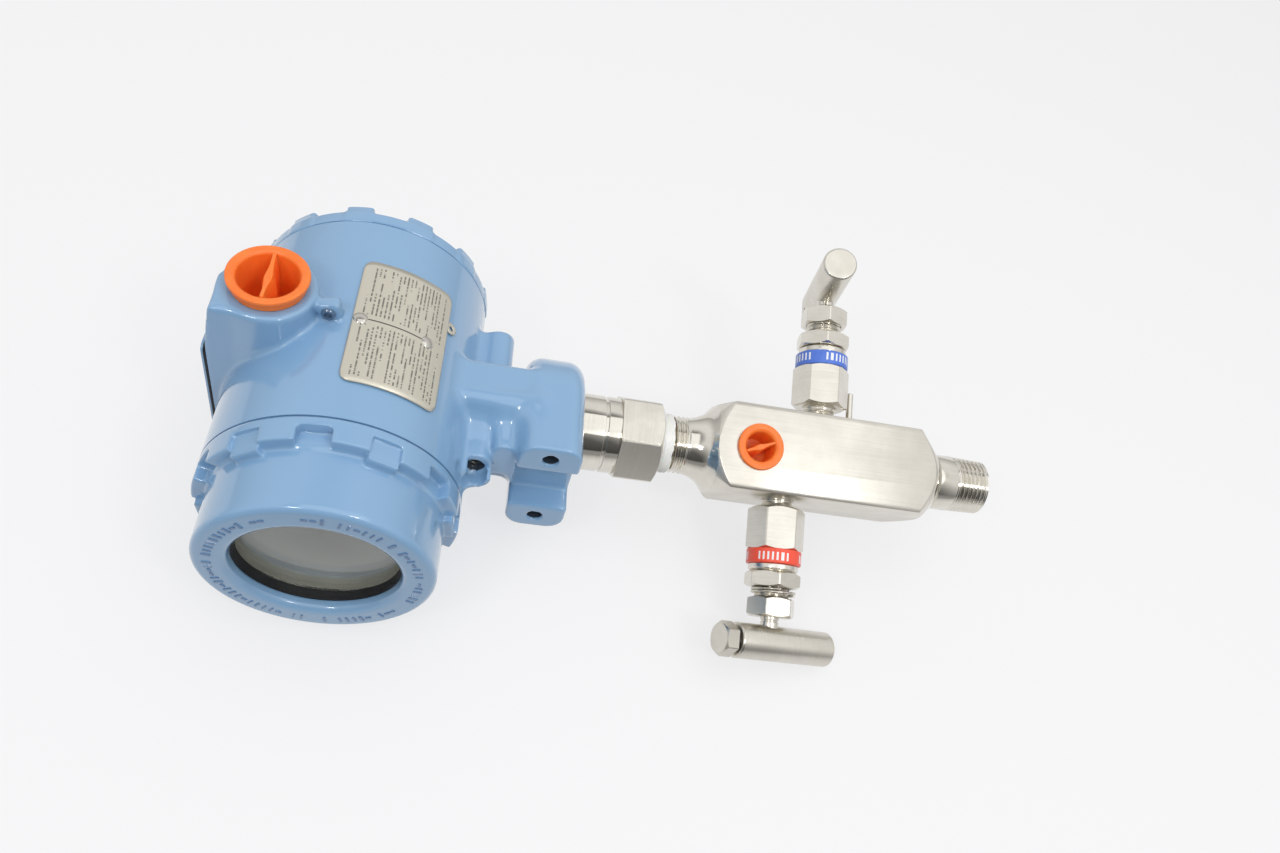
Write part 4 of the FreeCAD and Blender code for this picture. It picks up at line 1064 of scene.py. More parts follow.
def casting(measure: Measure, low: Point, high: Point, steps: Point, chart: Around | None = None) -> Shape:
    """Meshes a distance field and sets every point on its surface.

    Args:
        measure: Gives distances at points.
        low: Lowest corner of the space.
        high: Highest corner of the space.
        steps: Size of a cell along each axis.
        chart: Turns the space's own axes into the part's, or None where they are the same.

    Returns:
        The closed shape.
    """
    counts = [int(math.ceil((top - bottom) / step)) + 1 for bottom, top, step in zip(low, high, steps)]
    axes = [bottom + step * np.arange(count) for bottom, step, count in zip(low, steps, counts)]
    grid = np.stack(np.meshgrid(*axes, indexing="ij"), axis=-1).astype(np.float32)
    values = measure(chart.points(grid) if chart else grid)
    inside = values < 0.0
    corners = [np.array(item) for item in np.ndindex(2, 2, 2)]
    total = sum(
        inside[tuple(slice(o, o + n - 1) for o, n in zip(item, counts))].astype(np.int8) for item in corners)
    active = (total > 0) & (total < 8)
    cells = np.argwhere(active)
    index = np.full(active.shape, -1, np.int64)
    index[tuple(cells.T)] = np.arange(len(cells))
    summed, weight = np.zeros((len(cells), 3)), np.zeros(len(cells))
    for first in corners:
        for axis in range(3):
            if first[axis]:
                continue
            second = first.copy()
            second[axis] = 1
            near, far = values[tuple((cells + first).T)], values[tuple((cells + second).T)]
            crossed = (near < 0.0) != (far < 0.0)
            share = near[crossed] / (near[crossed] - far[crossed])
            summed[crossed] += first + share[:, None] * (second - first)
            weight[crossed] += 1.0
    points = np.array(low) + np.array(steps) * (cells + summed / weight[:, None])
    points = chart.points(points) if chart else points
    faces: Faces = []
    for axis in range(3):
        ahead, side = (axis + 1) % 3, (axis + 2) % 3
        cut = np.argwhere(np.diff(inside.astype(np.int8), axis=axis) != 0)
        clear = (cut[:, ahead] > 0) & (cut[:, side] > 0)
        clear &= (cut[:, ahead] < counts[ahead] - 1) & (cut[:, side] < counts[side] - 1)
        cut = cut[clear]
        ring = []
        for back_ahead, back_side in ((1, 1), (0, 1), (0, 0), (1, 0)):
            cell = cut.copy()
            cell[:, ahead] -= back_ahead
            cell[:, side] -= back_side
            ring.append(index[tuple(cell.T)])
        quads = np.stack(ring, axis=1)
        leaving = inside[tuple(cut.T)]
        quads[~leaving] = quads[~leaving][:, ::-1]
        faces += [tuple(quad) for quad in quads.tolist()]
    return Shape(settled(measure, points, steps[0]), faces, np.zeros((4 * len(faces), 2)))


def settled(measure: Measure, points: Array, step: float) -> Array:
    """Moves points onto the surface of a field along its slope.

    Args:
        measure: Gives distances at points.
        points: Points near the surface.
        step: Farthest move.

    Returns:
        The moved points.
    """
    reach, share, flattest, rounds = 0.05, 0.6, 0.2, 3
    for _ in range(rounds):
        slope = np.empty_like(points)
        for axis in range(3):
            shift = np.zeros(3)
            shift[axis] = reach
            slope[:, axis] = (measure(points + shift) - measure(points - shift)) / (2.0 * reach)
        size = np.maximum((slope ** 2).sum(axis=1), flattest)
        move = -(measure(points) / size)[:, None] * slope
        points = points + np.clip(move, -share * step, share * step)
    return points


# Finished pieces


def faced(piece: Piece, front: float, rear: float) -> Piece:
    """Cuts a piece flat across Y at both ends and closes the rings that this opens.

    Args:
        piece: A piece that reaches past both planes.
        front: Y of the front plane.
        rear: Y of the rear plane.

    Returns:
        The piece.
    """
    with opened(piece.data) as work:
        for plane, outward in ((front, -1.0), (rear, 1.0)):
            everything = work.verts[:] + work.edges[:] + work.faces[:]
            bmesh.ops.bisect_plane(
                work, geom=everything, dist=1e-7, plane_co=(0.0, plane * MM, 0.0),
                plane_no=(0.0, outward, 0.0), clear_outer=True)
            bmesh.ops.bridge_loops(work, edges=[edge for edge in work.edges if edge.is_boundary])
        bmesh.ops.recalc_face_normals(work, faces=work.faces)
    smoothed(piece.data, CAST_EDGE)
    return piece


def capped(piece: Piece) -> Piece:
    """Closes the small holes that a chart leaves at its axis."""
    with opened(piece.data) as work:
        bmesh.ops.holes_fill(work, edges=[edge for edge in work.edges if edge.is_boundary], sides=0)
        bmesh.ops.recalc_face_normals(work, faces=work.faces)
    return piece


def carved(piece: Piece, cutter: Shape) -> Piece:
    """Cuts a closed shape out of a piece.

    Args:
        piece: The piece.
        cutter: What is taken from it.

    Returns:
        The piece.
    """
    tool = cutter.mesh("cutter", Finishes.HIDDEN_STEEL)
    cut = piece.modifiers.new("cut", "BOOLEAN")
    cut.operation, cut.solver, cut.object = "DIFFERENCE", "EXACT", tool
    applied(piece).set_sharp_from_angle(angle=math.radians(BAR_EDGE))
    bpy.data.objects.remove(tool)
    return piece


def carried(piece: Piece, body: Body) -> None:
    """Names the body that a piece rides on.

    Args:
        piece: The finished piece.
        body: The body that it rides on.
    """
    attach(piece, body.value)
    LOG.info("%s rides on %s: %d faces", piece.name, body.value, len(piece.data.polygons))


def fitted(piece: Piece, node: str, body: Body) -> None:
    """Puts a piece in the place of a node.

    Args:
        piece: The finished piece.
        node: The node that it stands for.
        body: The body that it rides on.
    """
    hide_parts(node)
    carried(piece, body)
    LOG.info("%s stands for %s", piece.name, node)


def dressed(frame: dict, node: str, finish: Finish) -> None:
    """Gives a kept node its finish.

    Args:
        frame: The loaded frame.
        node: Name of the node.
        finish: Its finish.
    """
    data = frame["nodes"][node].data
    data.materials.clear()
    data.materials.append(finish.material())
    LOG.info("%s keeps its shape in %s", node, finish.name)


def growth(name: str, inputs: dict[str, str]) -> tuple[Graph, Sequence[Socket]]:
    """Starts a geometry node tree with named inputs.

    Args:
        name: Name of the tree.
        inputs: Each input after the geometry, and its kind.

    Returns:
        The tree's writer and its input sockets.
    """
    tree = bpy.data.node_groups.new(name, "GeometryNodeTree")
    tree.interface.new_socket("Geometry", in_out="INPUT", socket_type="NodeSocketGeometry")
    for socket, kind in inputs.items():
        tree.interface.new_socket(socket, in_out="INPUT", socket_type=f"NodeSocket{kind}")
    tree.interface.new_socket("Geometry", in_out="OUTPUT", socket_type="NodeSocketGeometry")
    graph = Graph(tree)
    return graph, graph.node("NodeGroupInput").outputs


def grown(
        name: str, tree: Tree, values: dict[str, object], seed: Mesh | None = None,
        place: Place = Place()) -> Piece:
    """Runs a node tree and keeps its result as a plain mesh.

    Args:
        name: Name of the piece.
        tree: The node tree.
        values: Values of its named inputs.
        seed: Mesh that the tree starts from, or None.
        place: Frame that the result is put into.

    Returns:
        The finished object.
    """
    holder = linked(name, seed or bpy.data.meshes.new(name))
    modifier = holder.modifiers.new("grow", "NODES")
    modifier.node_group = tree
    for socket in tree.interface.items_tree:
        if socket.in_out == "INPUT" and socket.name in values:
            modifier[socket.identifier] = values[socket.name]
    data = applied(holder)
    matrix = Matrix(place.matrix().tolist()).to_4x4()
    matrix.translation = Vector(place.origin) * MM
    data.transform(matrix)
    LOG.info("%s grown: %d faces", name, len(data.polygons))
    return holder


# Sub-assemblies


@dataclass
class Housing:
    """The cast housing with its bosses, top block, neck and bracket lugs."""

    axis_z: float = 239.0
    middle_y: float = 2.85
    radius: float = 41.0
    length: float = 83.4
    bore: Span = (36.05, 12.0)
    cavity_r: float = 34.5
    partition: Span = (-14.0, -9.0)
    conduit_z: float = 265.4
    conduit_boss_r: float = 14.7
    conduit_half: float = 47.3
    conduit: Span = (10.4, 25.0)
    block_y: Span = (-10.35, 4.65)
    block_top: float = 283.0
    block_drop: float = 6.0
    block_flat: float = 28.0
    block_slope: float = 2.8 / 19.3
    block_edges: Point = (1.0, 0.8, 1.8)
    block_fillet: float = 2.0
    web: Point = (23.0, 10.1, 7.4)
    web_ends: Span = (6.0, 30.0)
    web_edge: float = 3.0
    neck_z: Span = (161.0, 182.0)
    neck_r: float = 24.0
    neck_round: float = 6.2
    neck_fillet: float = 4.0
    front_growth: Point = (6.0, 11.0, 2.4)
    bracket_fillet: float = 2.6
    lug_front: float = 27.5
    lug_gap: Span = (11.0, 9.0)
    lug_gap_edge: float = 1.2
    lug_gap_past: Point = (9.0, 120.0, 200.0)
    hole: Point = (17.35, 171.6, 2.75)
    hole_depth: float = 14.0
    neck_bore: Span = (13.86, 179.3)
    boss_edge: float = 1.0
    jam: Point = (8.0, 195.5, 5.6)
    jam_y: Span = (-32.0, 28.6)
    jam_cup: Point = (5.4, 4.0, 2.6)
    jam_mouth: Span = (4.0, 2.0)
    jam_hole_r: float = 3.1
    jam_hole_ends: Span = (-14.0, 17.0)
    rib: Point = (12.3, 187.3, 3.5)
    rib_y: Span = (-23.3, 5.0)
    rib_low: float = 178.0
    rib_edge: float = 0.8
    rear_boss: Point = (10.0, 192.0, 5.3)
    ground: Four = (10.5, 47.0, 7.2, 4.4)
    ground_root: float = 30.0
    ground_y: float = 0.8
    broken_edge: float = 0.5
    spare: float = 2.0
    step: float = 0.93

    def front(self) -> float:
        """Returns the Y of the front parting line."""
        return self.middle_y - self.length / 2.0

    def rear(self) -> float:
        """Returns the Y of the rear parting line."""
        return self.middle_y + self.length / 2.0

    def outside(self, points: Array) -> Array:
        """Returns distances to the casting without its hollows.

        Args:
            points: Where to measure.

        Returns:
            The distances.
        """
        barrel = Field.rod(
            points, (0.0, self.middle_y, self.axis_z), 1, self.radius, self.length / 2.0 + self.spare,
            self.broken_edge)
        solid = Field.union(barrel, self.conduit_ends(points), self.block_fillet)
        web = Field.block(
            points, (-self.web[0], -self.web[1], self.neck_z[1] - self.web_ends[0]),
            (self.web[0], self.web[2], self.axis_z - self.web_ends[1]), self.web_edge)
        jam = Field.rod(
            points, (self.jam[0], sum(self.jam_y) / 2.0, self.jam[1]), 1, self.jam[2],
            (self.jam_y[1] - self.jam_y[0]) / 2.0, self.boss_edge)
        rear = Field.rod(
            points, (self.rear_boss[0], self.jam_y[1] / 2.0, self.rear_boss[1]), 1, self.rear_boss[2],
            self.jam_y[1] / 2.0, self.boss_edge)
        bosses = Field.union(Field.union(jam, rear, 1.2), self.rounded_rib(points), 1.8)
        reach, web_growth, bracket_growth = self.front_growth
        ahead = np.clip(-points[..., 1] / reach, 0.0, 1.0)
        neck = Field.union(web, bosses, self.block_fillet + web_growth * ahead)
        neck = Field.union(neck, self.bracket_block(points), self.bracket_fillet + bracket_growth * ahead)
        solid = Field.union(solid, neck, self.neck_fillet)
        return Field.union(solid, self.ground_lug(points), 1.2)

    def conduit_ends(self, points: Array) -> Array:
        """Returns distances to both conduit bosses and the block across the top.

        Args:
            points: Where to measure.

        Returns:
            The distances.
        """
        x, z = points[..., 0], points[..., 2]
        block_edge, roof_edge, end_edge = self.block_edges
        boss = np.hypot(points[..., 1] - self.middle_y, z - self.conduit_z) - self.conduit_boss_r
        reach = self.conduit_half + 2.0 * self.spare
        block = Field.block(
            points, (-reach, self.block_y[0], self.conduit_z - self.block_drop),
            (reach, self.block_y[1], self.block_top), block_edge)
        roof = z - self.block_top + self.block_slope * (np.abs(x) - self.block_flat)
        block = Field.common(block, roof / math.hypot(1.0, self.block_slope), roof_edge)
        return Field.common(
            Field.union(boss, block, self.block_fillet), np.abs(x) - self.conduit_half, end_edge)

    def bracket_block(self, points: Array) -> Array:
        """Returns distances to the round block with the flat bracket face.

        Args:
            points: Where to measure.

        Returns:
            The distances.
        """
        x, y, z = points[..., 0], points[..., 1], points[..., 2]
        rounding = self.neck_round
        plan = np.where(y > 0.0, np.hypot(x, y), np.abs(x)) - (self.neck_r - rounding)
        middle = sum(self.neck_z) / 2.0
        height = np.abs(z - middle) - ((self.neck_z[1] - self.neck_z[0]) / 2.0 - rounding)
        return Field.common(Field.corner(plan, height) - rounding, -y - self.lug_front, self.boss_edge)

    def rounded_rib(self, points: Array) -> Array:
        """Returns distances to the rounded rib beside the jam screw boss.

        Args:
            points: Where to measure.

        Returns:
            The distances.
        """
        across, rise = points[..., 0] - self.rib[0], points[..., 2] - self.rib[1]
        edge = self.rib_edge
        rise = np.where(rise < 0.0, np.maximum(0.0, self.rib_low - points[..., 2]), rise)
        side = np.where(across > 0.0, np.hypot(across, rise), np.abs(rise)) - self.rib[2] + edge
        along = np.abs(points[..., 1] - sum(self.rib_y) / 2.0) - (self.rib_y[1] - self.rib_y[0]) / 2.0 + edge
        return np.maximum(Field.corner(side, along) - edge, -points[..., 0])

    def ground_lug(self, points: Array) -> Array:
        """Returns distances to the small lug under the conduit boss.

        Args:
            points: Where to measure.

        Returns:
            The distances.
        """
        turn, reach, height, width = self.ground
        cos, sin = math.cos(math.radians(turn)), math.sin(math.radians(turn))
        away_x, away_z = points[..., 0], points[..., 2] - self.axis_z
        out, around = cos * away_x + sin * away_z, cos * away_z - sin * away_x
        local = np.stack([out, points[..., 1] - self.ground_y, around], axis=-1)
        return Field.block(
            local, (self.ground_root, -width / 2.0, -height / 2.0), (reach, width / 2.0, height / 2.0), 0.9)

    def hollows(self, points: Array) -> Array:
        """Returns distances to the cover bores, the cavities, the conduits and the neck's bore.

        Args:
            points: Where to measure.

        Returns:
            The distances.
        """
        x, y, z = points[..., 0], points[..., 1], points[..., 2]
        from_axis = np.hypot(x, z - self.axis_z)
        depth = np.minimum(y - self.front(), self.rear() - y)
        bores = np.maximum(from_axis - self.bore[0], depth - self.bore[1])
        wall = np.maximum(self.partition[0] - y, y - self.partition[1])
        cavities = np.maximum(from_axis - self.cavity_r, -wall)
        conduit = np.hypot(y - self.middle_y, z - self.conduit_z) - self.conduit[0]
        neck = np.maximum(np.hypot(x, y) - self.neck_bore[0], z - self.neck_bore[1])
        return Field.either(bores, cavities, np.maximum(conduit, self.conduit[1] - np.abs(x)), neck)

    def jam_spaces(self, points: Array) -> Array:
        """Returns distances to the jam screws' holes and the open cup before the front one.

        Args:
            points: Where to measure.

        Returns:
            The distances.
        """
        x, y, z = points[..., 0], points[..., 1], points[..., 2]
        across, rise, boss_r = self.jam
        cup, cup_r, cup_side = self.jam_cup
        below, beside = self.jam_mouth
        from_jam = np.hypot(x - across, z - rise)
        opened_side = Field.both(
            across - x, z - rise - cup_side, rise - boss_r - below - z, x - across - boss_r - beside)
        cup_space = np.maximum(np.minimum(from_jam - cup_r, opened_side), y - (self.jam_y[0] + cup))
        front_end, rear_end = self.jam_hole_ends
        ends = np.minimum(y - front_end, rear_end - y)
        return np.minimum(cup_space, np.maximum(from_jam - self.jam_hole_r, ends))

    def distance(self, points: Array) -> Array:
        """Returns distances to the finished casting.

        Args:
            points: Where to measure.

        Returns:
            The distances.
        """
        x, y, z = points[..., 0], points[..., 1], points[..., 2]
        solid = Field.without(self.outside(points), self.hollows(points), self.broken_edge)
        half, depth = self.lug_gap
        ahead, low, high = self.lug_gap_past
        gap = Field.block(
            points, (-half, -self.lug_front - ahead, low), (half, depth - self.lug_front, high),
            self.lug_gap_edge)
        solid = Field.without(solid, np.maximum(gap, z - self.neck_z[1]), self.lug_gap_edge)
        holes = np.hypot(np.abs(x) - self.hole[0], z - self.hole[1]) - self.hole[2]
        solid = Field.without(
            solid, np.maximum(holes, y + self.lug_front - self.hole_depth), self.broken_edge)
        return Field.without(solid, self.jam_spaces(points), 0.6)

    def build(self) -> None:
        """Makes the casting and fits it."""
        room = self.spare + 1.5
        low = (-self.conduit_half - room, self.front() - room, self.neck_z[0] - room)
        high = (self.conduit_half + room, self.rear() + room, self.block_top + room)
        shape = casting(self.distance, low, high, (self.step, self.step, self.step))
        piece = faced(shape.mesh("housing_casting", Finishes.HOUSING), self.front(), self.rear())
        fitted(piece, "housing", Body.ROOT)


@dataclass
class Cover:
    """What both screw covers share: the skirt with its seal groove, the flange and repeated features."""

    axis_z: float = 239.0
    skirt: Point = (32.0, 36.0, 11.0)
    skirt_top: Span = (0.5, 0.3)
    flange_r: float = 41.0
    groove: Point = (33.05, -3.7, -0.6)
    inner_edge: float = 0.5
    weld: float = 2e-6

    @staticmethod
    def rim(radius: Array, along: Array, outer: float, start: float, end: float, rounding: float) -> Array:
        """Returns distances to a disc with rounded edges, from radii and places along the axis."""
        middle, half = (start + end) / 2.0, (end - start) / 2.0
        return Field.corner(radius - outer + rounding, np.abs(along - middle) - half + rounding) - rounding

    @staticmethod
    def folded(angle: Array, radius: Array, turn: float, degrees: float) -> tuple[Array, Array]:
        """Returns distances out from and beside the nearest of the features that repeat every few degrees.

        Args:
            angle: Angles of the points.
            radius: Their distances from the cover's axis.
            turn: Angle of one feature in degrees.
            degrees: Angle from one feature to the next.

        Returns:
            Distances out from the axis and beside the feature's middle.
        """
        pitch = math.radians(degrees)
        local = np.mod(angle - math.radians(turn) + pitch / 2.0, pitch) - pitch / 2.0
        return radius * np.cos(local), radius * np.sin(local)

    def with_skirt(self, solid: Array, radius: Array, along: Array) -> Array:
        """Joins the skirt to the cover's body."""
        return np.minimum(solid, self.rim(radius, along, self.skirt[1], -self.skirt[2], *self.skirt_top))

    def grooved(self, solid: Array, radius: Array, along: Array) -> Array:
        """Cuts the seal's groove."""
        inner, low, high = self.groove
        return np.maximum(solid, -Field.both(inner - radius, low - along, along - high))


@dataclass
class FrontCover(Cover):
    """The cast window cover with its notched flange."""

    parting_y: float = -38.85
    flange: float = 8.7
    barrel: Span = (36.5, 29.65)
    edge: float = 2.2
    throat_r: float = 25.3
    window_r: float = 25.6
    lip: float = 4.0
    window_round: float = 3.0
    pocket: Span = (29.0, 14.3)
    notch: Four = (5.8, 5.2, 37.0, 3.5)
    notch_edges: Span = (1.2, 0.7)
    pad: Four = (35.8, 4.8, 39.4, 11.0)
    pad_edges: Four = (0.6, 0.5, 0.5, 0.6)
    pad_root: float = 30.0
    pitch: float = 60.0
    seam: float = 0.3
    mark_r: float = 31.4
    mark_count: int = 80
    room: float = 1.2
    step: float = 0.62
    columns: int = 400

    def distance(self, points: Array) -> Array:
        """Returns distances to the cover.

        Args:
            points: Where to measure.

        Returns:
            The distances.
        """
        x, z = points[..., 0], points[..., 2] - self.axis_z
        ahead = self.parting_y - points[..., 1]
        radius, angle = np.hypot(x, z), np.arctan2(z, x)
        solid = Field.union(
            self.rim(radius, ahead, self.flange_r, self.seam, self.flange, 0.5),
            self.rim(radius, ahead, self.barrel[0], self.seam, self.barrel[1], self.edge), 1.2)
        turn, half, floor, start = self.notch
        slot_edge, notch_edge = self.notch_edges
        out, side = self.folded(angle, radius, turn, self.pitch)
        slot = Field.corner(np.abs(side) - half + slot_edge, start - ahead + slot_edge) - slot_edge
        solid = Field.without(solid, np.maximum(slot, floor - out), notch_edge)
        turn, half, face, end = self.pad
        seat_edge, cut_edge, pad_edge, pad_fillet = self.pad_edges
        out, side = self.folded(angle, radius, turn, self.pitch)
        seat = Field.corner(np.abs(side) - half + seat_edge, start - ahead + seat_edge) - seat_edge
        solid = Field.without(solid, np.maximum(seat, face - out), cut_edge)
        pad = Field.corner(
            np.abs(side) - half + pad_edge, np.abs(ahead - end / 2.0) - end / 2.0 + pad_edge) - pad_edge
        solid = Field.union(solid, Field.both(pad, out - face, self.pad_root - out), pad_fillet)
        solid = self.with_skirt(solid, radius, ahead)

        lip_start = self.barrel[1] - self.lip
        bevel = radius - self.throat_r - (ahead - lip_start) * (self.window_r - self.throat_r) / self.lip
        solid = Field.without(solid, np.maximum(bevel, lip_start - 0.5 - ahead), self.window_round)
        inner = np.maximum(radius - self.skirt[0], ahead - (lip_start - self.pocket[1]))
        inner = np.minimum(inner, np.maximum(radius - self.pocket[0], ahead - lip_start))
        return self.grooved(Field.without(solid, inner, self.inner_edge), radius, ahead)

    def build(self) -> None:
        """Makes the cover and the ring of plain cast marks on its face."""
        face = self.parting_y - self.barrel[1]
        space = Around.space(
            (self.throat_r - 1.5, self.flange_r + self.room),
            (face - self.room, self.parting_y + self.skirt[2] + self.room), self.step, self.columns)
        shape = casting(self.distance, *space, Around(self.axis_z))
        piece = shape.mesh("front_cover_casting", Finishes.COVER, CAST_EDGE, self.weld)
        fitted(piece, "front_cover", Body.FRONT_LID)
        marks = RingMarks(self.mark_r, self.mark_count)
        piece = marks.make("front_cover_marks", Place((0.0, face, self.axis_z), AHEAD, RIGHT))
        carried(piece, Body.FRONT_LID)


@dataclass
class RingMarks:
    """Plain raised strokes round the window, placed by a node tree with a fixed seed."""

    radius: float
    count: int
    length: float = 2.9
    width: float = 0.8
    height: float = 0.28
    share: float = 0.78
    seed: int = 11
    lengths: Span = (0.8, 1.0)
    widths: Span = (0.6, 1.3)
    cross_share: float = 0.25
    cross_size: Point = (0.28, 2.3, 1.0)

    def tree(self) -> Tree:
        """Builds the node tree that spreads the strokes on a circle.

        Returns:
            The tree.
        """
        sizes = {name: "Float" for name in ("Radius", "Length", "Width", "Height", "Share")}
        graph, given = growth("ring_marks", {**sizes, "Count": "Int", "Seed": "Int", "Material": "Material"})
        seed = {"Seed": given["Seed"]}
        circle = graph.node("GeometryNodeMeshCircle", {"Vertices": given["Count"], "Radius": given["Radius"]})
        chance = graph.node("FunctionNodeRandomValue", seed, data_type="FLOAT")
        dropped = graph.node(
            "FunctionNodeCompare", {0: chance.outputs[1], 1: given["Share"]}, data_type="FLOAT",
            operation="GREATER_THAN")
        kept = graph.node(
            "GeometryNodeDeleteGeometry", {"Geometry": circle.outputs[0], "Selection": dropped.outputs[0]})
        size = graph.joined(given["Length"], given["Width"], given["Height"])
        stroke = graph.node("GeometryNodeMeshCube", {"Size": size})
        where = graph.node("GeometryNodeInputPosition")
        turn = graph.node("FunctionNodeAlignRotationToVector", {"Vector": where.outputs[0]}, axis="X")
        longer, wider = (
            graph.node("FunctionNodeRandomValue", {2: low, 3: high, **seed}, data_type="FLOAT")
            for low, high in (self.lengths, self.widths))
        radial = graph.joined(longer.outputs[1], wider.outputs[1], 1.0)
        kind = graph.node("FunctionNodeRandomValue", {6: self.cross_share, **seed}, data_type="BOOLEAN")
        scale = graph.node(
            "GeometryNodeSwitch", {"Switch": kind.outputs[3], "False": radial, "True": self.cross_size},
            input_type="VECTOR")
        spread = graph.node(
            "GeometryNodeInstanceOnPoints", {"Points": kept.outputs[0], "Instance": stroke.outputs[0],
            "Rotation": turn.outputs[0], "Scale": scale.outputs[0]})
        real = graph.node("GeometryNodeRealizeInstances", {0: spread.outputs[0]})
        dyed = graph.node(
            "GeometryNodeSetMaterial", {"Geometry": real.outputs[0], "Material": given["Material"]})
        graph.node("NodeGroupOutput", {0: dyed.outputs[0]})
        return graph.tree

    def make(self, name: str, place: Place) -> Piece:
        """Returns the strokes as one plain mesh in the given frame."""
        # The strokes take a darker blue, which is painted shade round raised letters.
        values = {
            "Radius": self.radius * MM, "Length": self.length * MM, "Width": self.width * MM,
            "Height": 2.0 * self.height * MM, "Share": self.share, "Count": self.count, "Seed": self.seed,
            "Material": Finishes.SHADED_MARKS.material()}
        return grown(name, self.tree(), values, place=place)


@dataclass
class RearCover(Cover):
    """The low blank cover with lugs round its flange."""

    parting_y: float = 44.55
    flange: float = 5.2
    cap: Span = (36.5, 6.4)
    wall: float = 5.0
    lug: Point = (-10.0, 4.7, 8.2)
    lug_edge: float = 0.9
    lug_root: float = 33.0
    pitch: float = 30.0
    seam: float = 0.5
    room: float = 1.3
    step: float = 0.7
    columns: int = 360

    def distance(self, points: Array) -> Array:
        """Returns distances to the cover.

        Args:
            points: Where to measure.

        Returns:
            The distances.
        """
        x, z = points[..., 0], points[..., 2] - self.axis_z
        back = points[..., 1] - self.parting_y
        radius = np.hypot(x, z)
        turn, half, end = self.lug
        out, side = self.folded(np.arctan2(-z, x), radius, turn, self.pitch)
        solid = Field.union(
            self.rim(radius, back, self.flange_r, self.seam, self.flange, 0.6),
            self.rim(radius, back, self.cap[0], self.seam, self.cap[1], 1.2), 1.0)
        middle, long_half = (end + self.seam) / 2.0, (end - self.seam) / 2.0
        edge = self.lug_edge
        lug = Field.corner(np.abs(side) - half + edge, np.abs(back - middle) - long_half + edge) - edge
        lug = Field.common(lug, radius - self.flange_r, 1.2)
        solid = self.with_skirt(Field.union(solid, np.maximum(lug, self.lug_root - out), 1.4), radius, back)
        inner = np.maximum(radius - self.skirt[0], back - (self.cap[1] - self.wall))
        return self.grooved(Field.without(solid, inner, self.inner_edge), radius, back)

    def build(self) -> None:
        """Makes the cover and fits it."""
        ends = (self.parting_y - self.skirt[2] - self.room, self.parting_y + self.lug[2] + self.room)
        space = Around.space((0.0, self.flange_r + self.room), ends, self.step, self.columns)
        shape = casting(self.distance, *space, Around(self.axis_z))
        piece = capped(shape.mesh("rear_cover_casting", Finishes.PAINT, CAST_EDGE, self.weld))
        fitted(piece, "rear_cover", Body.REAR_LID)


@dataclass
class Window:
    """Glass of the front cover and the blank indicator behind it."""

    axis_z: float = 239.0
    glass_y: Span = (-53.2, -61.2)
    glass_r: float = 29.0
    glass_edge: float = 0.5
    display_y: float = -20.0
    display: Profile = (
        (0.0, 0.0, 0.0), (9.0, 0.0, 0.3), (9.0, 5.0, 0.3), (30.5, 5.0, 0.8), (30.5, 11.0, 1.0),
        (27.6, 11.0, 0.5), (27.0, 9.6, 0.3), (23.6, 9.6, 0.3), (23.0, 12.0, 0.6), (0.0, 12.0, 0.0))

    def build(self) -> None:
        """Makes the glass disc and the blank indicator."""
        thick = self.glass_y[0] - self.glass_y[1]
        disc = turned([
            (0.0, 0.0, 0.0), (self.glass_r, 0.0, self.glass_edge), (self.glass_r, thick, self.glass_edge),
            (0.0, thick, 0.0)], 128)
        disc.placed(Place((0.0, self.glass_y[0], self.axis_z), AHEAD, RIGHT)).fit(
            "window_glass_disc", Finishes.GLASS, "window_glass", Body.FRONT_LID, Slot.GLASS)
        turned(self.display).placed(Place((0.0, self.display_y, self.axis_z), AHEAD, RIGHT)).fit(
            "indicator_case", Finishes.DISPLAY, "display_module", Body.ROOT, Slot.DISPLAY)


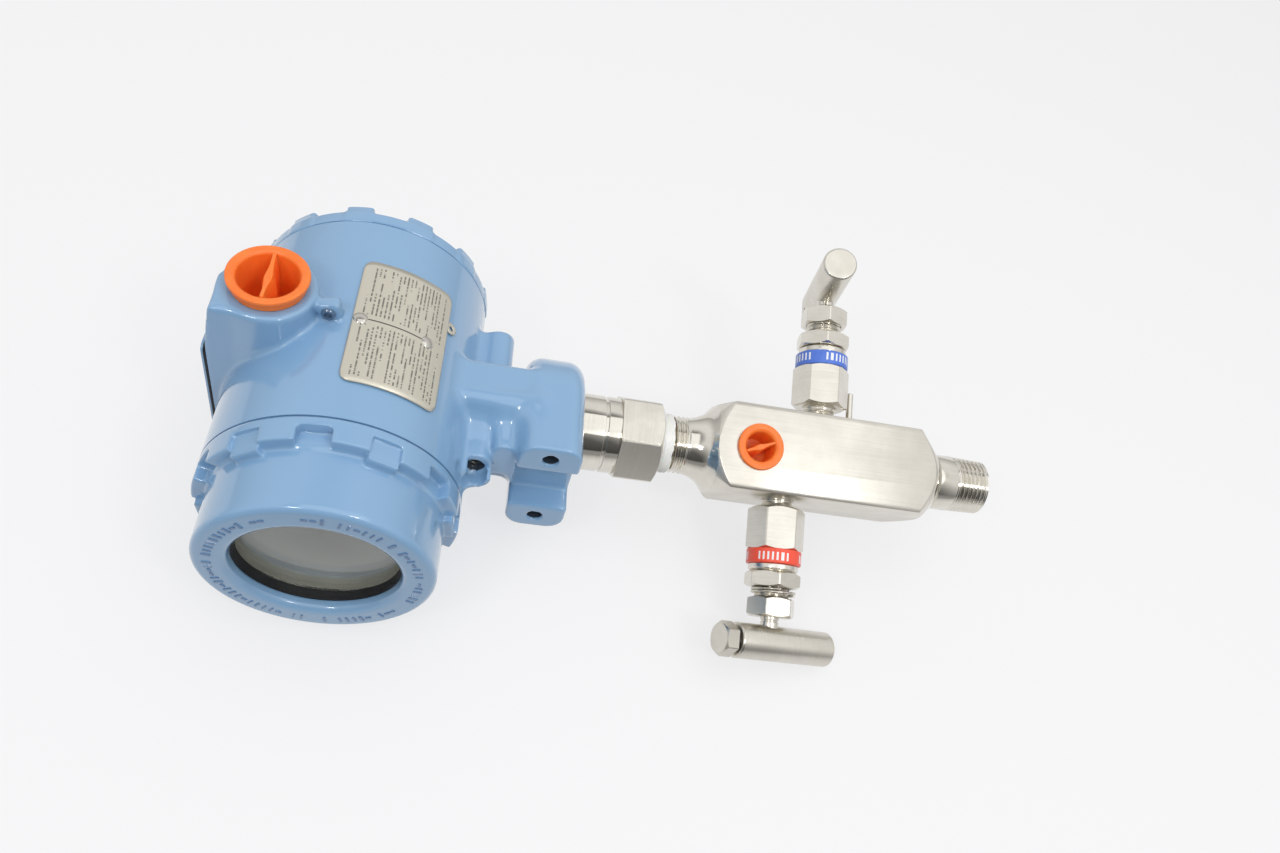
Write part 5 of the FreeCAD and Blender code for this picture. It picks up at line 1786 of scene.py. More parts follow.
@dataclass
class Connector:
    """Hexagon connector under the neck and the tape on the thread below it."""

    base: float = 130.7
    flats: float = 28.6
    turn: float = 19.2
    hex_height: float = 15.5
    face_r: float = 13.6
    bore_r: float = 4.0
    socket_depth: float = 6.0
    thread_r: float = 10.67
    collar: Profile = (
        (4.0, 146.2, 0.0), (13.86, 146.2, 0.15), (13.86, 151.0, 0.2), (12.96, 151.0, 0.1),
        (12.96, 152.2, 0.1), (13.86, 152.2, 0.2), (13.86, 157.0, 0.0), (13.86, 166.3, 0.3), (4.0, 166.3, 0.0))
    tape: Span = (126.1, 130.7)
    tape_r: float = 10.98
    tape_pitch: float = 1.15
    tape_seed: int = 5

    def build(self) -> None:
        """Makes the connector and its tape."""
        section = Hexagon(self.flats, self.turn)
        angles = section.angles(12)
        socket, top = self.base + self.socket_depth, self.base + self.hex_height
        rings: Rings = [
            (self.thread_r + 0.05, socket), (self.thread_r + 0.05, self.base + 0.6),
            (self.thread_r + 0.7, self.base)]
        rings += section.rings(self.base, top, self.face_r, None, angles)
        rings += [(self.bore_r, top), (self.bore_r, socket)]
        swept(rings, angles, True).fit(
            "process_connector_hexagon", Finishes.TURNED, "process_connector", sharp=HEXAGON_EDGE)
        collar = turned(self.collar, 128, True).mesh("process_connector_collar", Finishes.POLISHED)
        carried(collar, Body.ROOT)
        self.build_tape()

    def build_tape(self) -> None:
        """Makes the wound tape with uneven turns and edges."""
        random = np.random.default_rng(self.tape_seed)
        angles = even_angles(120)
        waves = [(n, random.uniform(0, FULL_TURN), random.uniform(0.02, 0.07)) for n in (2, 3, 5, 7, 11)]
        ragged = sum(size * np.sin(n * angles + phase) for n, phase, size in waves)
        low, high = self.tape[0], self.tape[1] - 0.02
        rings: Rings = [(self.thread_r - 0.3, low + 0.3 + 3.0 * np.abs(ragged))]
        for height in np.linspace(low, high, 26):
            turn = np.mod(height / self.tape_pitch - angles / FULL_TURN, 1.0)
            bulge = 0.16 * np.sin(math.pi * turn) ** 0.5 + 0.05 * np.sin(9.0 * angles + 4.0 * height)
            edge = np.minimum(1.0, (height - low + 0.05) / 0.5)
            start = np.maximum(height, low + 3.0 * np.abs(ragged) * (height < low + 0.8))
            rings.append((self.tape_r - 0.25 + bulge * edge + 0.3 * ragged, start))
        rings.append((self.thread_r - 0.3, high))
        swept(rings, angles, True).fit(
            "sealing_tape_wrap", Finishes.TAPE, "sealing_tape", Body.ROOT, Slot.TAPE, WIRE_EDGE)


@dataclass
class Manifold:
    """The square bar with turned ends and pipe threads, clocked about the process axis."""

    clock: float = -24.7
    width: float = 31.75
    corner_r: float = 22.28
    pipe_r: float = 10.67
    tip_r: float = 10.2
    flow: Span = (3.0, 30.0)
    thread_end: float = 13.4
    collar_end: float = 21.0
    cone_rise: float = 11.9 / 11.93
    bar_top: float = 105.5
    turned_r: float = 22.6
    upper_slope: float = 5.7 / 6.7
    flare: Profile = (
        (15.9, 111.2, 0.0), (12.9, 113.6, 1.6), (11.3, 116.8, 1.6), (10.5, 119.6, 0.6), (10.5, 120.2, 0.0))
    upper_thread: Span = (120.2, 129.5)
    upper_end: float = 131.5
    pitch: float = 1.814
    taper: float = 1.0 / 32.0
    thread_depths: Span = (0.95, 0.85)
    port: Point = (95.8, 6.6, 12.9)
    pin: Point = (55.4, 1.3, 29.9)
    pin_sunk: float = 5.5
    pin_hollow: Span = (0.7, 2.0)
    valve_z: Span = (67.9, 82.3)
    stem_bore_r: float = 3.45
    bonnet_bore: Span = (6.05, 10.0)
    drill_past: Span = (6.0, 3.0)

    def normal(self) -> Array:
        """Returns the direction out of the vent port."""
        angle = math.radians(self.clock)
        return np.array([math.cos(angle), math.sin(angle), 0.0])

    def cross(self) -> Array:
        """Returns the direction out of the isolate valve."""
        angle = math.radians(self.clock)
        return np.array([-math.sin(angle), math.cos(angle), 0.0])

    def out(self, direction: Array, reach: float, height: float) -> Place:
        """Returns the frame that looks out of the bar from so far off its axis at a height."""
        foot = direction * reach
        return Place((foot[0], foot[1], height), tuple(direction), UP)

    def angles(self) -> Array:
        """Returns column angles with the bar's corners resolved."""
        edge = math.acos(self.width / 2.0 / self.corner_r)
        side = np.append(np.linspace(-edge, edge, 27), math.radians(45.0))
        return np.concatenate([side + math.radians(90.0 * number) for number in range(4)])

    def rings(self, angles: Array) -> Rings:
        """Returns the outline of the bar from its flow bore to its top.

        Args:
            angles: Column angles.

        Returns:
            The rings.
        """
        folded = np.mod(angles + math.pi / 4.0, math.pi / 2.0) - math.pi / 4.0
        outline = np.minimum(self.width / 2.0 / np.cos(folded), self.corner_r)
        low = self.collar_end + (outline - self.pipe_r) * self.cone_rise
        high = self.bar_top + (self.turned_r - outline) * self.upper_slope
        flow_r, flow_end = self.flow
        lower, upper = self.thread_depths
        rings: Rings = [
            (0.0, flow_end), (flow_r, flow_end), (flow_r, 0.5), (flow_r + 0.5, 0.0), (self.tip_r - 1.3, 0.0)]
        rings += Thread(self.tip_r, lower, self.pitch, self.taper).rings(0.9, self.thread_end, angles)
        rings += [
            (self.pipe_r - 0.25, self.thread_end + 0.3), (self.pipe_r - 0.05, self.thread_end + 0.8),
            (self.pipe_r - 0.05, self.collar_end), (outline - 0.2, low - 0.2), (outline, low + 0.35),
            (outline, high - 0.3), (outline - 0.2, high + 0.15)]
        rings += softened(self.flare)
        rings += Thread(self.pipe_r - 0.05, upper, self.pitch).rings(*self.upper_thread, angles)
        return rings + [(self.pipe_r - 0.1, self.upper_end), (0.0, self.upper_end)]

    def drills(self) -> Shape:
        """Returns the spaces of the vent port and of both valves."""
        height, radius, depth = self.port
        port_end = depth + self.drill_past[0]
        port = turned([
            (0.0, 0.0, 0.0), (radius, 0.0, 0.0), (radius, port_end, 0.0), (0.0, port_end, 0.0)], 64)
        port = port.placed(self.out(self.normal(), self.width / 2.0 - depth, height))
        shank_r, shank = self.bonnet_bore
        step, end = self.width / 2.0 - shank, self.width / 2.0 + self.drill_past[1]
        valve = turned([
            (0.0, 0.0, 0.0), (self.stem_bore_r, 0.0, 0.0), (self.stem_bore_r, step, 0.0),
            (shank_r, step, 0.0), (shank_r, end, 0.0), (0.0, end, 0.0)], 64)
        isolate, vent = (
            valve.placed(Place((0.0, 0.0, rise), tuple(direction), UP))
            for direction, rise in zip((self.cross(), -self.cross()), self.valve_z))
        return port.joined(isolate).joined(vent)

    def build(self) -> None:
        """Makes the bar, drills it and fits it with the lock pin."""
        angles = self.angles()
        bar = swept(self.rings(angles), angles).placed(Place(side=tuple(self.normal())))
        piece = carved(bar.mesh("manifold_bar", Finishes.BAR, BAR_EDGE), self.drills())
        fitted(piece, "manifold_body", Body.ROOT)

        height, radius, reach = self.pin
        start = self.width / 2.0 - self.pin_sunk
        length, hollow_r = reach - start, radius - self.pin_hollow[0]
        pin = turned([
            (0.0, 0.0, 0.0), (radius, 0.0, 0.0), (radius, length, 0.35), (hollow_r, length, 0.1),
            (hollow_r, length - self.pin_hollow[1], 0.0), (0.0, length - self.pin_hollow[1], 0.0)], 32)
        pin.placed(self.out(self.cross(), start, height)).fit("lock_pin", Finishes.TURNED, "bonnet_lock_pin")


@dataclass
class Valve:
    """One needle valve, measured outwards from the base of its bonnet hexagon."""

    name: str
    place: Place
    stand: float
    spindle: Body
    band_finish: Finish
    band_slot: Slot
    bonnet_turn: float
    nut_turn: float
    gland_turn: float
    handle_turn: float
    insert: float = 8.0
    neck_r: float = 6.0
    bonnet_flats: float = 19.0
    bonnet_hex: float = 15.6
    bonnet_faces: Span = (9.0, 9.6)
    band: Point = (8.6, 10.1, 5.4)
    collar: Span = (9.2, 2.8)
    nut: Span = (18.5, 5.5)
    gap: float = 3.8
    thread_r: float = 6.6
    gland: Span = (16.0, 6.9)
    stem_r: float = 3.4
    stem_show: float = 2.9
    stem_bed: float = 4.0
    handle: Point = (6.35, 26.7, 15.3)
    bolt: Span = (11.0, 6.4)
    bolt_r: float = 2.5
    washer: Span = (4.6, 1.3)
    gap_fit: float = 0.02
    running_fit: float = 0.05

    def levels(self) -> dict[str, float]:
        """Returns the heights where one piece ends and the next starts."""
        names = ("band", "collar", "nut", "thread", "gland", "stem", "handle", "bar")
        return dict(
            zip(names, accumulate((self.bonnet_hex, self.band[2], self.collar[1], self.nut[1], self.gap,
            self.gland[1], self.stem_show, self.handle[0]))))

    def build(self) -> None:
        """Makes all visible pieces of the valve."""
        self.build_bonnet()
        self.build_band()
        self.build_nuts()
        self.build_stem()
        self.build_handle()

    def fit_hexagon(self, rings: Rings, angles: Array, name: str, node: str) -> None:
        """Fits a closed piece of hexagon bar on the valve's axis; both names follow the valve's."""
        swept(rings, angles, True).placed(self.place).fit(
            f"{self.name}_{name}", Finishes.TURNED, f"{self.name}_{node}", sharp=HEXAGON_EDGE)

    def build_bonnet(self) -> None:
        """Makes the bonnet with its neck, hexagon, collar and thread."""
        level = self.levels()
        section = Hexagon(self.bonnet_flats, self.bonnet_turn)
        angles = section.angles()
        neck, base, seat = self.neck_r, -self.stand - self.insert, self.band[0]
        collar, low, high = self.collar[0], level["collar"], level["nut"]
        rings: Rings = [(neck, base), (neck, -self.stand + 0.2), (neck - 0.4, -self.stand + 0.5)]
        rings += Thread(neck, 0.4, 1.0).rings(-self.stand + 0.6, -0.9, angles, 6)
        rings += [(neck + 0.2, -0.5), (neck + 0.9, 0.0)]
        rings += section.rings(0.0, level["band"], *self.bonnet_faces, angles)
        rings += [(seat, level["band"]), (seat, low)]
        rings += softened([
            (collar - 0.2, low, 0.0), (collar, low + 0.3, 0.2), (collar, high - 0.9, 0.3),
            (collar - 0.9, high - 0.05, 0.1), (self.thread_r, high - 0.05, 0.0)])
        end, bore = level["gland"] + 2.0, self.stem_r + self.running_fit
        rings += Thread(self.thread_r, 0.55, 1.25).rings(high, end, angles)
        rings += [(bore, end), (bore, base)]
        self.fit_hexagon(rings, angles, "bonnet_hexagon", "bonnet")

    def build_band(self) -> None:
        """Makes the coloured band."""
        inner, outer, width = self.band
        start = self.levels()["band"]
        low, high, side, edge = start + 0.02, start + width - 0.02, outer - 0.02, outer - 0.25
        ring = turned([
            (inner, low, 0.0), (edge, low, 0.2), (side, start + 0.3, 0.2), (side, start + width - 0.3, 0.2),
            (edge, high, 0.2), (inner, high, 0.0)], 96, True)
        ring.placed(self.place).fit(
            f"{self.name}_band", self.band_finish, f"{self.name}_label_band", Body.ROOT, self.band_slot)

    def build_nuts(self) -> None:
        """Makes the lock nut and the gland nut."""
        level = self.levels()
        bore = self.thread_r + self.gap_fit
        low, high = level["nut"], level["thread"]
        section = Hexagon(self.nut[0], self.nut_turn)
        angles, face = section.angles(), self.nut[0] / 2.0 - 0.25
        rings: Rings = [(bore, high - 1.0), (bore, low + 0.6), (self.thread_r + 0.6, low)]
        rings += section.rings(low, high, face, face, angles)
        rings += [(self.thread_r + 0.6, high), (bore, high - 0.6)]
        self.fit_hexagon(rings, angles, "nut", "lock_nut")

        low, high, stem = level["gland"], level["stem"], self.stem_r + self.running_fit
        section = Hexagon(self.gland[0], self.gland_turn)
        angles, face = section.angles(), self.gland[0] / 2.0 - 0.2
        rings = [(bore, low + 2.0), (bore, low + 0.4), (self.thread_r + 0.5, low)]
        rings += section.rings(low, high, face + 0.2, face - 0.3, angles)
        rings += [(self.stem_r + 0.5, high), (stem, high - 0.5), (stem, high - 2.4)]
        self.fit_hexagon(rings, angles, "gland", "gland_nut")

    def build_stem(self) -> None:
        """Makes the stem with the small relief under the handle."""
        level, radius = self.levels(), self.stem_r
        bottom, top, relief = -self.stand - self.insert + 1.0, level["bar"] + self.stem_bed, level["stem"]
        stem = turned([
            (0.0, bottom, 0.0), (radius, bottom, 0.2), (radius, relief + 0.9, 0.0),
            (radius - 0.35, relief + 1.1, 0.1), (radius - 0.35, relief + 1.6, 0.1),
            (radius, relief + 1.8, 0.0), (radius, top, 0.2), (0.0, top, 0.0)], 48)
        stem.placed(self.place).fit(
            f"{self.name}_stem_rod", Finishes.TURNED, f"{self.name}_stem", self.spindle)

    def bar_place(self, side: float) -> Place:
        """Returns the frame along the bar handle, towards its long end or its bolt.

        Args:
            side: 1 towards the long end and -1 towards the bolt.

        Returns:
            The frame.
        """
        angle = math.radians(self.handle_turn)
        along = self.place.direction((side * math.cos(angle), side * math.sin(angle), 0.0))
        return Place(tuple(self.place.point((0.0, 0.0, self.levels()["bar"]))), tuple(along), self.place.axis)

    def build_handle(self) -> None:
        """Makes the bar handle and the bolt and washer in its short end."""
        radius, long_end, short_end = self.handle
        bar = turned([
            (0.0, -short_end, 0.0), (radius - 0.5, -short_end, 0.25), (radius, -short_end + 0.5, 0.25),
            (radius, long_end - 0.6, 0.3), (radius - 0.6, long_end, 0.3), (radius * 0.5, long_end, 0.0),
            (0.4, long_end, 0.0), (0.0, long_end, 0.0)])
        bar.placed(self.bar_place(1.0)).fit(
            f"{self.name}_bar", Finishes.HANDLE, f"{self.name}_handle", self.spindle, sharp=SOFT_EDGE)

        # The dark washer also serves as painted shadow in the gap under the bolt head.
        washer_r, thick = self.washer
        base = short_end + self.gap_fit
        washer = turned([
            (self.bolt_r, base, 0.0), (washer_r, base, 0.2), (washer_r, base + thick, 0.2),
            (self.bolt_r, base + thick, 0.0)], 64, True).placed(self.bar_place(-1.0))
        carried(washer.mesh(f"{self.name}_washer", Finishes.WASHER_AND_GAP_SHADE), self.spindle)

        flats, rise = self.bolt
        section = Hexagon(flats)
        angles = section.angles()
        rings: Rings = [
            (0.0, short_end - 4.0), (self.bolt_r, short_end - 4.0), (self.bolt_r, base + thick),
            (flats / 2.0 - 0.4, base + thick)]
        rings += section.rings(base + thick + 0.15, short_end + rise, None, flats / 2.0 - 0.35, angles)
        rings += [(0.0, short_end + rise)]
        swept(rings, angles).placed(self.bar_place(-1.0)).fit(
            f"{self.name}_bolt", Finishes.BOLT, f"{self.name}_handle_bolt", self.spindle, sharp=HEXAGON_EDGE)


@dataclass
class TagRing:
    """The loose wire ring round the vent valve's thread."""

    place: Place
    level: float
    radius: float = 7.75
    wire: float = 0.5
    turns: float = 1.8
    pitch: float = 1.05
    tilt: float = 4.0
    tilt_share: float = 0.4
    thread_r: float = 6.6

    def build(self) -> None:
        """Makes the wire, wound a little under two turns and hanging on the thread."""
        angle = np.linspace(0.0, FULL_TURN * self.turns, 130)
        lift = self.level + self.wire + self.pitch * angle / FULL_TURN
        lean = math.tan(math.radians(self.tilt)) * self.radius * np.cos(angle)
        drop = self.radius - self.wire - self.thread_r
        path = np.stack([
            self.radius * np.cos(angle), self.radius * np.sin(angle) - drop,
            lift + self.tilt_share * lean], axis=1)
        tube(path, self.wire).placed(self.place).fit(
            "tag_ring_wire", Finishes.BOLT, "vent_tag_ring", sharp=WIRE_EDGE)


@dataclass
class Plug:
    """An orange shipping plug: a flanged cup with a web to pull it by."""

    name: str
    node: str
    body: Body
    place: Place
    cup_r: float
    depth: float
    flange_r: float
    flange: Span
    neck_r: float
    web: float
    web_turn: float = 0.0
    wall: float = 1.1
    web_outline: Sequence[Span] = ((-0.8, 0.0), (-0.72, 0.55), (-0.52, 0.93), (-0.34, 1.0))
    web_columns: int = 21

    def build(self) -> None:
        """Makes the cup and the web across it."""
        low, high = self.flange
        hollow, floor = self.cup_r - self.wall, -self.depth + self.wall
        cup = turned([
            (0.0, -self.depth, 0.0), (self.cup_r - 0.5, -self.depth, 0.8), (self.cup_r - 0.05, 0.06, 0.0),
            (self.neck_r, 0.06, 0.2), (self.neck_r, low, 0.1), (self.flange_r, low, 0.35),
            (self.flange_r, high, 0.6), (hollow + 1.0, high, 0.5), (hollow, high - 0.8, 0.6),
            (hollow - 0.3, floor, 0.8), (0.0, floor, 0.0)])
        cup.joined(self.web_shape(hollow, high)).placed(self.place).fit(
            self.name, Finishes.ORANGE, self.node, self.body, Slot.ORANGE, SOFT_EDGE)

    def web_shape(self, hollow: float, top: float) -> Shape:
        """Returns the web, thicker at its root and dished along its top.

        Args:
            hollow: Inner radius of the cup.
            top: Height of the flange's face.

        Returns:
            The web in the plug's own frame.
        """
        outline = [*self.web_outline, *((-across, rise) for across, rise in reversed(self.web_outline))]
        floor = -self.depth + self.wall * 0.5
        points = []
        for along in np.linspace(-hollow - 0.1, hollow + 0.1, self.web_columns):
            share = abs(along) / hollow
            crest = top - 0.4 - 0.9 * (1.0 - share ** 2) ** 2
            width = self.web * (0.62 + 0.75 * math.exp(-(share / 0.35) ** 2))
            points += [(along, across * width, floor + (crest - floor) * rise) for across, rise in outline]
        turn = math.radians(self.web_turn)
        cos, sin = math.cos(turn), math.sin(turn)
        spin = np.array([[cos, -sin, 0.0], [sin, cos, 0.0], [0.0, 0.0, 1.0]])
        count, last = len(outline), (self.web_columns - 1) * len(outline)
        faces = []
        for first in range(last):
            second = first + 1 if (first + 1) % count else first + 1 - count
            faces.append((first + count, second + count, second, first))
        faces += [tuple(range(count - 1, -1, -1)), tuple(last + index for index in range(count))]
        return Shape.unmapped(np.array(points) @ spin.T, faces)


@dataclass
class Plates:
    """Nameplate, top plate and small fasteners of the housing."""

    axis_z: float = 239.0
    radius: float = 41.0
    thick: float = 0.45
    plate_angles: Span = (-42.6, 1.4)
    plate_y: Span = (-25.3, 25.5)
    plate_corner: float = 3.2
    plate_columns: int = 25
    tab: Four = (-44.7, 12.4, 2.3, 0.9)
    rivets: Span = (-1.9, -32.9)
    rivet: Span = (2.45, 1.05)
    rivet_y: float = 0.1
    top_corner: float = 2.0
    top_edge: float = 0.15
    top_z: Point = (282.9, 283.7, 284.5)
    top_plate: tuple[Span, Span] = ((-27.0, -9.35), (27.0, 3.65))
    top_gasket: tuple[Span, Span] = ((-27.2, -9.6), (27.2, 3.9))
    top_screws: Span = (-22.0, 22.0)
    top_screw_y: float = -2.85
    top_screw: Span = (2.7, 1.35)
    ground: Point = (10.5, 43.9, -1.4)
    ground_socket: Span = (2.4, 12.0)
    jam_x: float = 8.0
    jam_z: float = 195.5
    jam_y: Span = (-24.1, 26.1)
    jam_socket: Span = (3.0, 10.0)

    def on_housing(self, angle: float, y: float, rise: float = 0.0) -> Array:
        """Returns a point on the housing's side."""
        reach, turn = self.radius + rise, math.radians(angle)
        return np.array([reach * math.cos(turn), y, self.axis_z + reach * math.sin(turn)])

    def build(self) -> None:
        """Makes the plates and fasteners."""
        self.build_nameplate()
        outward = [
            (math.cos(math.radians(angle)), 0.0, math.sin(math.radians(angle))) for angle in self.rivets]
        self.build_heads(
            "nameplate_rivet_heads", "nameplate_rivets", self.rivet,
            [self.on_housing(angle, self.rivet_y, self.thick) for angle in self.rivets], outward)
        low, middle, high = self.top_z
        self.build_sheet(
            "top_plate_sheet", "top_plate", *self.top_plate, (middle, high), Finishes.PAINT, Slot.PAINT)
        self.build_sheet(
            "top_gasket_sheet", "top_plate_gasket", *self.top_gasket, (low, middle), Finishes.RUBBER,
            Slot.SEAL)
        self.build_heads(
            "top_screw_heads", "top_plate_screws", self.top_screw,
            [np.array([x, self.top_screw_y, high]) for x in self.top_screws], [UP, UP])
        self.build_ground()
        self.build_jam_screws()

    def build_nameplate(self) -> None:
        """Makes the curved plate with rounded corners and a holed tab."""
        low, high = self.plate_angles
        corner, columns = self.plate_corner, self.plate_columns
        length = math.radians(high - low) * self.radius
        rows = np.unique(
            np.concatenate([np.linspace(0.0, corner, 7), np.linspace(corner, length - corner, 26),
            np.linspace(length - corner, length, 7)]))
        points, mapped = [], []
        for across in rows:
            back = max(corner - min(across, length - across), 0.0)
            inset = corner - math.sqrt(max(corner ** 2 - back ** 2, 0.0))
            angle = high - math.degrees(across / self.radius)
            for y in np.linspace(self.plate_y[0] + inset, self.plate_y[1] - inset, columns):
                points.append(self.on_housing(angle, y, self.thick))
                mapped.append((across, y - sum(self.plate_y) / 2.0))
        starts = [row * columns + column for row in range(len(rows) - 1) for column in range(columns - 1)]
        faces = [(first + 1, first + columns + 1, first + columns, first) for first in starts]
        sheet = Shape(np.array(points), faces, np.array([mapped[index] for face in faces for index in face]))
        piece = sheet.joined(self.tab_shape()).mesh("nameplate_sheet", Finishes.PLATE, SOFT_EDGE)
        solid = piece.modifiers.new("thickness", "SOLIDIFY")
        solid.thickness, solid.offset = (self.thick - 0.03) * MM, -1.0
        fitted(piece, "nameplate", Body.ROOT)

    def tab_shape(self) -> Shape:
        """Returns the small tab with its hole."""
        angle, y, outer, inner = self.tab
        count = 28
        points = []
        for turn in even_angles(count):
            for reach in (inner, outer):
                around = angle + math.degrees(reach * math.sin(turn) / self.radius)
                points.append(self.on_housing(around, y + reach * math.cos(turn), self.thick - 0.02))
        pairs = [(left, (left + 1) % count) for left in range(count)]
        return Shape.unmapped(
            points, [(2 * right, 2 * right + 1, 2 * left + 1, 2 * left) for left, right in pairs])

    @staticmethod
    def head_tree(name: str) -> Tree:
        """Builds a tree that sets a domed head on each point along its facing.

        Args:
            name: Name of the tree.

        Returns:
            The tree.
        """
        graph, given = growth(name, {"Radius": "Float", "Height": "Float", "Material": "Material"})
        ball = graph.node("GeometryNodeMeshUVSphere", {"Segments": 32, "Rings": 18, "Radius": 1.0})
        size = graph.joined(given["Radius"], given["Radius"], given["Height"])
        dome = graph.node("GeometryNodeTransform", {"Geometry": ball.outputs[0], "Scale": size})
        facing = graph.node("GeometryNodeInputNamedAttribute", {"Name": "facing"}, data_type="FLOAT_VECTOR")
        turn = graph.node("FunctionNodeAlignRotationToVector", {"Vector": facing.outputs[0]}, axis="Z")
        spread = graph.node(
            "GeometryNodeInstanceOnPoints", {"Points": given["Geometry"], "Instance": dome.outputs[0],
            "Rotation": turn.outputs[0]})
        real = graph.node("GeometryNodeRealizeInstances", {0: spread.outputs[0]})
        smooth = graph.node("GeometryNodeSetShadeSmooth", {"Geometry": real.outputs[0]})
        dyed = graph.node(
            "GeometryNodeSetMaterial", {"Geometry": smooth.outputs[0], "Material": given["Material"]})
        graph.node("NodeGroupOutput", {0: dyed.outputs[0]})
        return graph.tree

    def build_heads(self, name: str, node: str, size: Span, spots: list[Array], facings: list[Point]) -> None:
        """Makes the domed heads of one kind of fastener from a node tree.

        Args:
            name: Name of the piece.
            node: The node that it stands for.
            size: Radius and height of a head.
            spots: Where the heads sit.
            facings: Where they point.
        """
        seed = bpy.data.meshes.new(f"{name}_points")
        seed.from_pydata([tuple(spot * MM) for spot in spots], [], [])
        for item, facing in zip(seed.attributes.new("facing", "FLOAT_VECTOR", "POINT").data, facings):
            item.vector = facing
        values = {"Radius": size[0] * MM, "Height": size[1] * MM, "Material": Finishes.RIVET.material()}
        fitted(grown(name, self.head_tree(f"{name}_tree"), values, seed), node, Body.ROOT)

    def build_sheet(
            self, name: str, node: str, low: Span, high: Span, heights: Span, finish: Finish,
            slot: Slot) -> None:
        """Makes a flat plate with rounded corners and softened edges.

        Args:
            name: Name of the piece.
            node: The node that it stands for.
            low: Its lowest X and Y.
            high: Its highest X and Y.
            heights: Its lower and upper face.
            finish: Its finish.
            slot: The record's slot for that; not used.
        """
        corner = self.top_corner
        left, right, front, rear = low[0] + corner, high[0] - corner, low[1] + corner, high[1] - corner
        outline = []
        for x, y, start in (
                (right, rear, 0.0), (left, rear, 90.0), (left, front, 180.0), (right, front, 270.0)):
            for angle in np.linspace(start, start + 90.0, 7):
                turn = math.radians(angle)
                outline.append((x + corner * math.cos(turn), y + corner * math.sin(turn)))
        count = len(outline)
        points = [(x, y, height) for height in heights for x, y in outline]
        faces = [
            (index, (index + 1) % count, count + (index + 1) % count, count + index)
            for index in range(count)]
        faces += [tuple(range(count - 1, -1, -1)), tuple(range(count, 2 * count))]
        piece = Shape.unmapped(points, faces).mesh(name, finish)
        bevel = piece.modifiers.new("edges", "BEVEL")
        bevel.width, bevel.segments, bevel.limit_method = self.top_edge * MM, 2, "ANGLE"
        fitted(piece, node, Body.ROOT)

    def build_ground(self) -> None:
        """Makes the ground screw in the front of its lug, its head in a darker blue that is painted shade."""
        turn, reach, face = self.ground
        out = np.array([math.cos(math.radians(turn)), 0.0, math.sin(math.radians(turn))])
        foot = np.array([0.0, face, self.axis_z]) + reach * out
        section = Hexagon(*self.ground_socket)
        angles = section.angles()
        outline = section.radius(angles)
        rings: Rings = [
            (0.0, -3.3), (1.45, -3.3), (1.45, 0.02), (2.15, 0.02), (2.28, 0.18), (2.28, 0.7), (2.0, 1.05),
            (outline, 1.05), (outline, 0.1), (0.0, 0.1)]
        swept(rings, angles).placed(Place(tuple(foot), AHEAD, RIGHT)).fit(
            "ground_screw_head", Finishes.GROUND_SCREW_SHADE, "ground_screw")

    def build_jam_screws(self) -> None:
        """Makes the two set screws with hexagon sockets in the boss under the housing."""
        section = Hexagon(*self.jam_socket)
        angles = section.angles(4)
        outline = section.radius(angles)
        screw = swept([
            (0.0, -9.0), (3.05, -9.0), (3.05, -0.4), (2.6, 0.0), (outline, 0.0), (outline, -2.4),
            (0.0, -2.4)], angles)
        front, rear = (
            screw.placed(Place((self.jam_x, y, self.jam_z), axis, RIGHT))
            for y, axis in zip(self.jam_y, (AHEAD, BEHIND)))
        front.joined(rear).fit("jam_screw_pair", Finishes.BOLT, "cover_jam_screws")


@dataclass
class BlankingPlug:
    """The plug in the second conduit entry."""

    place: Place
    radius: float = 10.35
    depth: float = 15.0
    socket: Span = (9.5, 8.0)
    bevel: float = 0.8
    sunk: float = 0.02

    def build(self) -> None:
        """Makes the plug with its hexagon socket."""
        flats, floor = self.socket
        section = Hexagon(flats)
        angles = section.angles()
        outline = section.radius(angles)
        rings: Rings = [
            (0.0, -self.depth), (self.radius, -self.depth), (self.radius, -self.bevel),
            (self.radius - self.bevel, -self.sunk), (outline + 0.35, -self.sunk), (outline, -0.4),
            (outline, -floor), (0.0, -floor)]
        swept(rings, angles).placed(self.place).fit(
            "blanking_plug_socket", Finishes.TURNED, "blanking_plug", sharp=HEXAGON_EDGE)


@dataclass(frozen=True)
class Lamp:
    """A square lamp that faces the object, with its size in millimetres and its power in watts."""

    name: str
    where: Point
    size: float
    power: float

    def hang(self, target: Point) -> None:
        """Hangs the lamp where the camera doesn't see it.

        Args:
            target: The point that it faces.
        """
        data = bpy.data.lights.new(self.name, "AREA")
        data.shape, data.size, data.energy = "SQUARE", self.size * MM, self.power
        lamp = linked(self.name, data)
        lamp.location = Vector(self.where) * MM
        lamp.rotation_mode = "QUATERNION"
        lamp.rotation_quaternion = (Vector(target) * MM - lamp.location).to_track_quat("-Z", "Y")
        lamp.visible_camera = False


